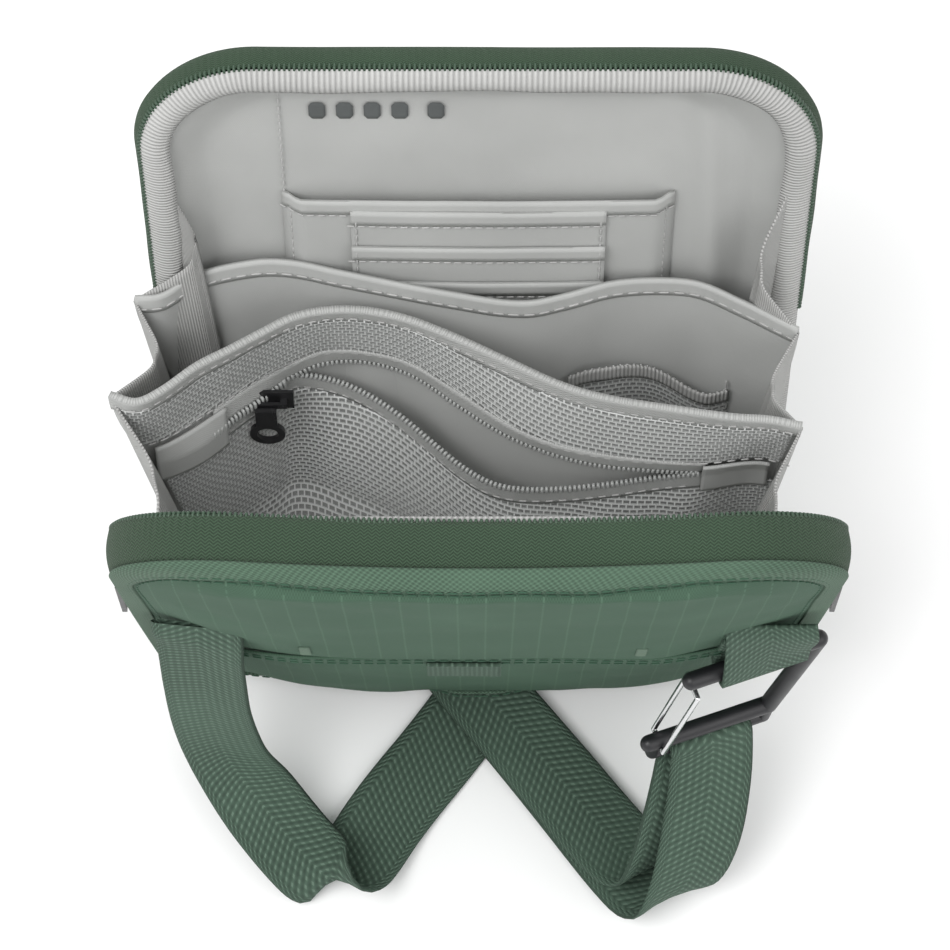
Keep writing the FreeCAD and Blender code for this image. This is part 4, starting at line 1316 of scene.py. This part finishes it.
@dataclass
class Dividers:
    """Both dividers with their mesh pockets.

    Args:
        finishes: where the pieces get their materials.
    """

    finishes: Finishes

    def build(self) -> None:
        """Make both leaves."""
        self.pen()
        self.zipped()
        self.flatten()

    @staticmethod
    def flatten() -> None:
        """Give each of the front divider's own pieces a mesh of its own."""
        leaf = ZIP_DIVIDER
        normal = leaf.at(0, 1, 0) - leaf.at(0, 0, 0)
        for piece in [o for o in bpy.data.objects if o.get("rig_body") == "zip_divider"]:
            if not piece.get("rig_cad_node"):
                leaf.at(0, 0, 50) * MM
                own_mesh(piece)

    def pen(self) -> None:
        """The rear divider, its hem and pen pocket."""
        f, body, leaf = self.finishes, "pen_divider", PEN_CLOTH
        f.wear(leaf.panel("pen_cloth", 10, 111.8, 0.0, 0.7), "lining", body, "pen_divider_cloth")
        f.wear(leaf.panel("pen_hem", 107.0, 112.4, -0.1, 1.2, 0.2, rows=4), "lining", body,
               "pen_divider_hem")
        normal = PEN_DIVIDER.at(0, -1, 0) - PEN_DIVIDER.at(0, 0, 0)

        def pocket(s: float, t: float) -> Vector:
            """A point of the pen pocket, which bulges twice and droops on the right."""
            x = 22.5 + 41 * s
            arch = curve_at([(0, 0.5), (0.15, 4.0), (0.32, 4.6), (0.52, 1.0), (0.75, -3.5),
                             (1, -3.0)], s)
            z = 32 + (50 + arch) * t
            bulge = curve_at([(0, 0.4), (0.25, 4.2), (0.5, 2.0), (0.62, 2.2), (0.85, 4.5),
                              (1, 0.4)], s) * smooth(t, 0.1, 0.7)
            return leaf.at(x, -0.9 - bulge, z)

        f.wear(grid_piece("pen_net", 50, 36, pocket, (44, 52), 0.3), "mesh", body,
               "pen_pocket_mesh")
        band = grid_piece("pen_band", 50, 4, lambda s, t: pocket(s, 0.92 + 0.08 * t)
                          + normal * 0.4, (44, 4), 0.6)
        f.wear(band, "grosgrain", body, "pen_pocket_binding")
        marks = along(sampled(lambda s: leaf.at(-83 + 160 * s, -0.95, 108.4), 120), 3.8, normal)
        for x in (23.2, 42.5, 62.8):
            marks += along([leaf.at(x, -1.7, 32 + 5 * i) for i in range(11)], 2.6, normal)
        f.sew(beads("pen_stitches", marks, Vector((2.7, 0.45, 0.4))), f.grey_thread, body)

    @staticmethod
    def lip(x: float, drop: float) -> Vector:
        """The lower edge of the open zip, or a place a little under it."""
        return ZIP_DIVIDER.at(x, curve_at(ZIP_LIP, x) - 1.4, curve_at(LIP_HEIGHT, x) - drop)

    @staticmethod
    def upper_lip(x: float, rise: float) -> Vector:
        """The upper edge of the open zip, or a place a little above it."""
        apart = smooth(x, -50, -40) * (1 - smooth(x, 40, 56))
        return ZIP_CLOTH.at(x, -1.3, 84.6 + 1.6 * apart + rise)

    def zipped(self) -> None:
        """The front divider: binding, mesh band, the open zip and its pocket."""
        f, body, leaf, lip = self.finishes, "zip_divider", ZIP_CLOTH, self.lip
        normal = ZIP_DIVIDER.at(0, -1, 0) - ZIP_DIVIDER.at(0, 0, 0)
        f.wear(leaf.panel("zip_cloth", 10, 110, 0.4, 0.6), "lining", body, "zip_divider_cloth")
        binding = leaf.panel("zip_binding", 107.6, 112.4, 0.0, 1.9, rows=4)
        f.wear(binding, "grosgrain", body, "zip_divider_binding")
        binding.data.materials[0] = f.grey_tape
        f.wear(leaf.panel("band_net", 90.5, 108.4, -0.9, 0.35, 2.0, rows=14), "mesh", body,
               "upper_mesh_band")

        def along_wave(p: Vector) -> Pair:
            """The weave's place, which follows the cloth's own length."""
            return (leaf.arc(p.x), p.z)

        for side, place in (("upper", lambda s, t: self.upper_lip(-66 + 122 * s, 0.8 + 5.6 * t)),
                            ("lower", lambda s, t: lip(-66 + 122 * s, 6.0 * (1 - t)))):
            tape = grid_piece(side + "_tape", 120, 5, place, thickness=0.7, uv=along_wave)
            f.wear(tape, "grosgrain", body, "mesh_zip_%s_tape" % side)
            tape.data.materials[0] = f.grey_tape

        def pocket(s: float, t: float) -> Vector:
            """A point of the mesh pocket: it follows the cloth low down and the lip higher up."""
            x = (-79 + 153 * s) * (0.88 + 0.12 * t)
            height = 14 + (curve_at(LIP_HEIGHT, x) - 5.2 - 14) * t
            keep = min(0.8 * (height - 14) / 26, 0.8 + 0.2 * (height - 40) / 45)
            open_here = smooth(x, -52, -30) * (1 - smooth(x, 45, 70))
            belly = (5.5 * math.sin(math.pi * t) + 1.2 * ripple(x * 1.4, 0, t * 22, 13)
                     * (1 - t ** 4)) * open_here
            return ZIP_DIVIDER.at(x, curve_at(ZIP_LIP, x) * keep - 1.3 - belly, height)

        net = grid_piece("pocket_net", 150, 46, pocket, thickness=0.35, uv=along_wave)
        f.wear(net, "mesh", body, "mesh_pocket_panel")
        uppers = sampled(lambda s: self.upper_lip(-50 + 105 * s, 0.4) + normal * 0.2, 160)
        lowers = sampled(lambda s: lip(-49 + 104 * s, -0.5) + normal * 0.3, 160)
        teeth = beads("mesh_teeth", along(uppers, 1.2, normal) + along(lowers, 1.2, normal),
                      Vector((0.75, 1.9, 1.2)))
        f.wear(teeth, "grey_coil", body, "mesh_zip_coils")
        closed = beads("mesh_teeth_closed", along(sampled(lambda s: self.upper_lip(
            -66 + 17 * s, 0.0) + normal * 0.8, 20), 1.2, normal), Vector((0.8, 3.0, 1.3)))
        f.wear(closed, "grey_coil", body)

        def tab(name: str, left: float, right: float) -> bpy.types.Object:
            """A cloth tab over one end of the zip."""
            return grid_piece(name, 20, 12, lambda s, t: leaf.at(
                left + (right - left) * s, -2.4, 77.0 + 13.5 * t), thickness=0.8, uv=along_wave)

        f.wear(tab("left_tab", -80, -63), "lining", body, "zip_end_tabs")
        f.wear(tab("right_tab", 55.5, 72), "lining", body)
        marks: List[Matrix] = []
        for z, depth in ((91.4, -1.55), (109.3, -1.25)):
            marks += along(sampled(lambda s, z=z, d=depth: leaf.at(-84 + 160 * s, d, z), 130),
                           3.4, normal)
        marks += along(sampled(lambda s: lip(-62 + 116 * s, 4.8) + normal * 0.45, 130), 3.4,
                       normal)
        f.sew(beads("zip_divider_stitches", marks, Vector((2.0, 0.4, 0.35))), f.grey_thread, body)


# ---- base -------------------------------------------------------------------------------
def build_base(finishes: Finishes) -> None:
    """The cloth base that joins the two halves round their lower corners.

    Args:
        finishes: where the base gets its material.
    """

    def place(s: float, t: float) -> Vector:
        """A point of the base: s goes round the corners and t from front to rear."""
        share = 0.26 * (s - 0.5)
        point = RIM.at(share if share >= 0 else 1 + share)
        point = Vector((0, 100)) + (point - Vector((0, 100))) * 0.985
        near, far = FRONT.at(point.x, -9.0, point.y), REAR.at(point.x, 9.5, point.y)
        low = Vector((point.x, near.y + (far.y - near.y) * t, min(near.z, far.z)))
        mix = near.lerp(far, t)
        rest = smooth(abs(point.x), 66, 40)
        middle = math.sin(math.pi * t)
        mix.z -= rest * max(0.0, mix.z - 1.4) * min(1.0, middle * 1.6)
        return mix.lerp(low, 0.2 * middle)

    base = grid_piece("cloth_base", 90, 40, place, (150, 60), 1.0)
    finishes.wear(base, "shell", "pouch_front", "base_panel")


# ---- gussets ----------------------------------------------------------------------------
@dataclass(frozen=True)
class Pleat:
    """One pleat of a side gusset, from one leaf's edge in to a valley and out to the next's.

    Args:
        name: the CAD node that it stands for.
        bodies: the two bodies that it joins; not used.
        side: -1 for the left and 1 for the right.
        first: the first leaf's edge at the top and at the foot.
        valley: the valley's line.
        last: the second leaf's edge.
    """

    name: str
    bodies: Tuple[str, str]
    side: int
    first: Tuple[Vector, Vector]
    valley: Tuple[Vector, Vector]
    last: Tuple[Vector, Vector]

    def place(self, s: float, t: float) -> Vector:
        """A point of the pleat.

        Args:
            s: the share across it.
            t: the share of the way up.

        Returns:
            The point in millimetres.
        """
        a = self.first[1].lerp(self.first[0], t)
        b = self.valley[1].lerp(self.valley[0], t)
        c = self.last[1].lerp(self.last[0], t)
        edge = a.lerp(b, s * 2) if s < 0.5 else b.lerp(c, s * 2 - 1)
        soft = (a + b * 2 + c) / 4
        blend = math.exp(-((s - 0.5) / 0.09) ** 2) * 0.5
        point = edge.lerp(soft, blend)
        point.x += self.side * 0.8 * math.sin(s * 2 * math.pi) * math.sin(t * math.pi)
        point.z += -2.0 * math.sin(s * math.pi) * smooth(t, 0.8, 1.0)
        return point


def build_gussets(finishes: Finishes) -> None:
    """The three pleats on each side.

    Args:
        finishes: where the pleats get their material.
    """
    for side, name in ((-1, "left"), (1, "right")):
        near = (FRONT.at(side * 79.5, -1.5, 101), FRONT.at(side * 70, -1.5, 20))
        zip_edge = (ZIP_CLOTH.at(ZIP_CLOTH.edge(side, 111), 0, 111),
                    ZIP_CLOTH.at(ZIP_CLOTH.edge(side, 20), 0, 20))
        pen_edge = (PEN_CLOTH.at(PEN_CLOTH.edge(side, 111), 0, 111),
                    PEN_CLOTH.at(PEN_CLOTH.edge(side, 20), 0, 20))
        rear = (REAR.at(side * 76.0, 1.6, 150), REAR.at(side * 69, 2.0, 20))
        fold = 77.0 if side < 0 else 70.0

        def valley(a: Tuple[Vector, Vector], b: Tuple[Vector, Vector], x: float,
                   share: float = 0.5) -> Tuple[Vector, Vector]:
            """The fold's line between two edges, at a place across."""
            top, foot = a[0].lerp(b[0], share), a[1].lerp(b[1], share)
            return (Vector((side * x, top.y, top.z - 4)), Vector((side * (x - 8), foot.y, foot.z)))

        pleats = [
            Pleat("gusset_%s_front" % name, ("pouch_front", "zip_divider"), side, near,
                  valley(near, zip_edge, fold, 0.62), zip_edge),
            Pleat("gusset_%s_middle" % name, ("zip_divider", "pen_divider"), side, zip_edge,
                  valley(zip_edge, pen_edge, fold), pen_edge),
            Pleat("gusset_%s_rear" % name, ("pen_divider", "rear_half"), side, pen_edge,
                  valley(pen_edge, rear, 66.0, 0.45), rear),
        ]
        for pleat in pleats:
            piece = grid_piece(pleat.name + "_cloth", 24, 40, pleat.place, (60, 85), 0.6)
            finishes.wear(piece, "grosgrain", "", pleat.name)
            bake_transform(piece)


# ---- strap ------------------------------------------------------------------------------
@dataclass
class Strap:
    """The neck strap: one flat length of webbing from the left exit, round and back.

    Args:
        finishes: where the strap gets its material.
        width: the webbing's width.
        thickness: its thickness.
        centre: the middle of the rolled-up length, on the floor behind the pouch.
        radius: the roll's outer radius.
        pitch: how much the roll tightens in a turn.
    """

    finishes: Finishes
    width: float = 22.0
    thickness: float = 1.4
    centre: Pair = (0.0, 97.0)
    radius: float = 43.0
    pitch: float = 16.8

    def roll(self) -> List[Tuple[Tuple[float, float, float], Tuple[float, float, float]]]:
        """The rolled-up length: in along one strand and out along the other.

        Returns:
            The roll's places, each with the direction of the webbing's width.
        """
        x0, y0 = self.centre

        def point(turned: float, inward: float) -> Tuple[float, float, float]:
            """A place of the roll, after so many degrees and so far in."""
            angle = math.radians(turned - 33.0)
            r = self.radius - self.pitch * turned / 360.0 - inward
            return (x0 + r * math.cos(angle), y0 + r * math.sin(angle), 11.5)

        places = [point(turned, 0.0) for turned in range(6, 600, 24)]
        places += [point(620, 0.5), point(640, 3.0), point(628, 6.5)]
        places += [point(turned, 8.4) for turned in range(592, -50, -24)]
        return [(place, (0.0, 0.0, 1.0)) for place in places]

    def build(self) -> bpy.types.Object:
        """Make the ribbon along the route's own spline.

        Returns:
            The strap.
        """
        route = LEFT_ROUTE + self.roll() + RIGHT_ROUTE
        data = bpy.data.curves.new("strap_line", "CURVE")
        data.dimensions = "3D"
        spline = data.splines.new("NURBS")
        spline.points.add(len(route) - 1)
        for point, (place, _) in zip(spline.points, route):
            point.co = (*(Vector(place) * MM), 1.0)
        spline.order_u = 3
        spline.use_endpoint_u = True
        data.resolution_u = 6
        line = bpy.data.objects.new("strap_line", data)
        bpy.context.scene.collection.objects.link(line)
        mesh = bpy.data.meshes.new_from_object(line)
        places = [vert.co / MM for vert in mesh.vertices]
        bpy.data.objects.remove(line)
        widths = [self.width_at(i / (len(places) - 1), route) for i in range(len(places))]
        frames = []
        for index, place in enumerate(places):
            ahead = places[min(index + 1, len(places) - 1)]
            behind = places[max(index - 1, 0)]
            forward = (ahead - behind).normalized()
            across = (widths[index] - forward * widths[index].dot(forward)).normalized()
            frames.append((place, across, forward.cross(across)))
        walked = [0.0]
        for a, b in zip(places, places[1:]):
            walked.append(walked[-1] + (b - a).length)
        section = [(-0.5, 0.0), (-0.47, 0.42), (-0.4, 0.5), (-0.2, 0.5), (0, 0.5), (0.2, 0.5),
                   (0.4, 0.5), (0.47, 0.42), (0.5, 0.0), (0.47, -0.42), (0.4, -0.5), (0.2, -0.5),
                   (0, -0.5), (-0.2, -0.5), (-0.4, -0.5), (-0.47, -0.42), (-0.5, 0.0)]
        last = len(frames) - 1

        def place_at(s: float, t: float) -> Vector:
            """A point of the ribbon's surface: s goes round its section."""
            index = min(last, int(round(t * last)))
            a, b = section[int(round(s * 16))]
            centre, across, up = frames[index]
            return centre + across * (a * self.width) + up * (b * self.thickness)

        piece = grid_piece("neck_strap", 16, last, place_at, weld=True)
        layer = piece.data.uv_layers["UVMap"].data
        self.lay_uv(piece, layer, walked, last)
        self.finishes.wear(piece, "webbing", "", "strap_left_run", "strap_right_run",
                           "strap_return_run", "strap_coil")
        LOG.info("strap length %.0f mm", walked[-1])
        Vector(route[0][0]) * MM
        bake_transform(piece)
        return piece

    def lay_uv(self, piece: bpy.types.Object, layer: object, walked: List[float],
               last: int) -> None:
        """Run the weave along the strap, with u across it and v along it.

        Args:
            piece: the strap.
            layer: its UV layer's data.
            walked: how far along the strap each section is, in millimetres.
            last: the last section's number.
        """
        for loop, uv in zip(piece.data.loops, layer):
            s, t = uv.uv.x / (100.0 * MM), uv.uv.y / (100.0 * MM)
            index = min(last, int(round(t * last)))
            across = abs(s - 0.25) if s < 0.5 else abs(s - 0.75) + 3.0
            uv.uv = (((s * 2) % 1.0) * self.width * MM + (0.0 if across < 2 else 0.05),
                     walked[index] * MM)

    @staticmethod
    def width_at(share: float, route: Sequence) -> Vector:
        """The direction of the webbing's width.

        Args:
            share: the share of the way along the spline.
            route: the places, each with its own direction.

        Returns:
            The direction there.
        """
        spans = len(route) - 2
        t = min(max(share * spans + 0.5, 0.0), len(route) - 1.0)
        index = min(int(t), len(route) - 2)
        a, b = Vector(route[index][1]), Vector(route[index + 1][1])
        return a.lerp(b, t - index).normalized()


def build_loop(finishes: Finishes) -> None:
    """The short webbing loop that holds the hook: round its top bar and up into the slot.

    Args:
        finishes: where the loop gets its material.
    """
    centre = Vector((67.7, -55.2, 87.0))
    bar = Vector((0.9455, 0.3256, 0.0))
    back = Vector((-0.3246, 0.9427, -0.0767))
    up = bar.cross(back)

    width, shift = 22, 0.7
    r = 3.5
    line = [(-2.9, 29.0), (-4.6, 25.0), (-4.4, 17.0), (-3.9, 9.0)]
    line += [(r * math.cos(math.radians(a)), r * math.sin(math.radians(a)))
             for a in (175, 205, 235, 265, 295, 325, 355, 385)]
    line += [(1.6, 7.0), (-1.6, 13.0), (-2.9, 19.0)]
    backs = [(index / (len(line) - 1), b) for index, (b, _) in enumerate(line)]
    ups = [(index / (len(line) - 1), u) for index, (_, u) in enumerate(line)]

    def place(s: float, t: float) -> Vector:
        """A point of the loop: s goes across the webbing and t along it."""
        straight = smooth(min(t, (1 - t) * 1.2), 0.04, 0.26)
        across = Vector((1, 0, 0)).lerp(bar, straight)
        return (centre + across * (shift + width * (s - 0.5)) + back * curve_at(backs, t)
                + up * curve_at(ups, t))

    piece = grid_piece("hook_loop", 14, 90, place, (width, 72), 1.2)
    finishes.wear(piece, "webbing", "pouch_front", "short_webbing_loop")


# ---- stage ------------------------------------------------------------------------------
def build_stage() -> None:
    """A pale floor, soft lights and the camera."""
    scene = bpy.context.scene
    mesh = bpy.data.meshes.new("floor")
    work = bmesh.new()
    bmesh.ops.create_grid(work, x_segments=1, y_segments=1, size=4.0)
    work.to_mesh(mesh)
    work.free()
    floor = bpy.data.objects.new("floor", mesh)
    scene.collection.objects.link(floor)
    material = bpy.data.materials.new("floor_white")
    material.use_nodes = True
    skin = material.node_tree.nodes["Principled BSDF"]
    skin.inputs["Base Color"].default_value = (0.86, 0.86, 0.86, 1)
    skin.inputs["Roughness"].default_value = 0.9
    mesh.materials.append(material)
    world = bpy.data.worlds.new("studio")
    world.use_nodes = True
    world.node_tree.nodes["Background"].inputs[0].default_value = (1, 1, 1, 1)
    world.node_tree.nodes["Background"].inputs[1].default_value = 0.85
    scene.world = world
    for name, place, aim, size, power in (
            ("key", (-0.5, -0.3, 1.1), (0, 0, 0.05), 0.7, 9.0),
            ("fill", (0.7, -0.6, 0.8), (0, 0, 0.05), 0.9, 4.0),
            ("back", (0.1, 0.9, 0.8), (0, 0, 0.1), 0.8, 3.0)):
        data = bpy.data.lights.new(name, "AREA")
        data.size = size
        data.energy = power
        light = bpy.data.objects.new(name, data)
        light.location = place
        light.rotation_euler = (Vector(aim) - Vector(place)).to_track_quat("-Z", "Y").to_euler()
        scene.collection.objects.link(light)
    data = bpy.data.cameras.new("camera")
    data.lens = 36.0 * 3300.0 / 950.0
    data.sensor_width = 36.0
    camera = bpy.data.objects.new("camera", data)
    camera.location = (-0.00083, -0.2873, 0.8554)
    camera.rotation_euler = (math.radians(20.0), 0, 0)
    scene.collection.objects.link(camera)
    scene.camera = camera
    scene.view_settings.view_transform = "Standard"


def paint_frame(frame: Dict[str, object], finishes: Finishes) -> None:
    """Give the frame nodes that are shown as they are their finishes.

    Args:
        frame: the loaded frame.
        finishes: where they get their materials.
    """
    shown = {"hook_frame": "hook_black", "gate_wire": "gate_steel", "strap_adjuster": "adjuster"}
    for side in ("mesh", "left", "right"):
        shown.update({side + "_zip_slider": "slider", side + "_zip_puller": "slider"})
    for name, slot in shown.items():
        finishes.paint(frame["nodes"][name], slot)


def place_mesh_slider(frame: Dict[str, object]) -> None:
    """Show the mesh zip's slider and puller on the waving cloth, in place of the flat leaf.

    Args:
        frame: the loaded frame.
    """
    nodes = frame["nodes"]
    for name in ("mesh_zip_slider", "mesh_zip_puller"):
        moved = nodes[name].copy()
        moved.data = nodes[name].data.copy()
        moved.name = name.replace("mesh_zip", "drawn")
        bpy.context.scene.collection.objects.link(moved)
        shift = ZIP_CLOTH.at(-52.0, 0.0, 84.6) - ZIP_DIVIDER.at(-52.0, 0.0, 80.0)
        moved.data.transform(Matrix.Translation(shift * MM))
        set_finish(moved, "slider")
        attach(moved, name)
        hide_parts(name)


def report_pieces() -> None:
    """Log each piece that was made, with its body."""
    for piece in bpy.data.objects:
        if piece.get("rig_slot") and not piece.get("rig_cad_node"):
            LOG.info("%s rides on %s", piece.name, piece.get("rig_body", "two bodies"))


def main() -> None:
    """Build the whole look."""
    logging.basicConfig(level=logging.INFO)
    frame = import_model()
    build_stage()
    finishes = Finishes()
    Strap(finishes).build()
    build_loop(finishes)
    FrontHalf(finishes).build()
    RearHalf(finishes).build()
    Dividers(finishes).build()
    build_gussets(finishes)
    build_base(finishes)
    paint_frame(frame, finishes)
    place_mesh_slider(frame)
    report_pieces()


if __name__ == "__main__":
    main()
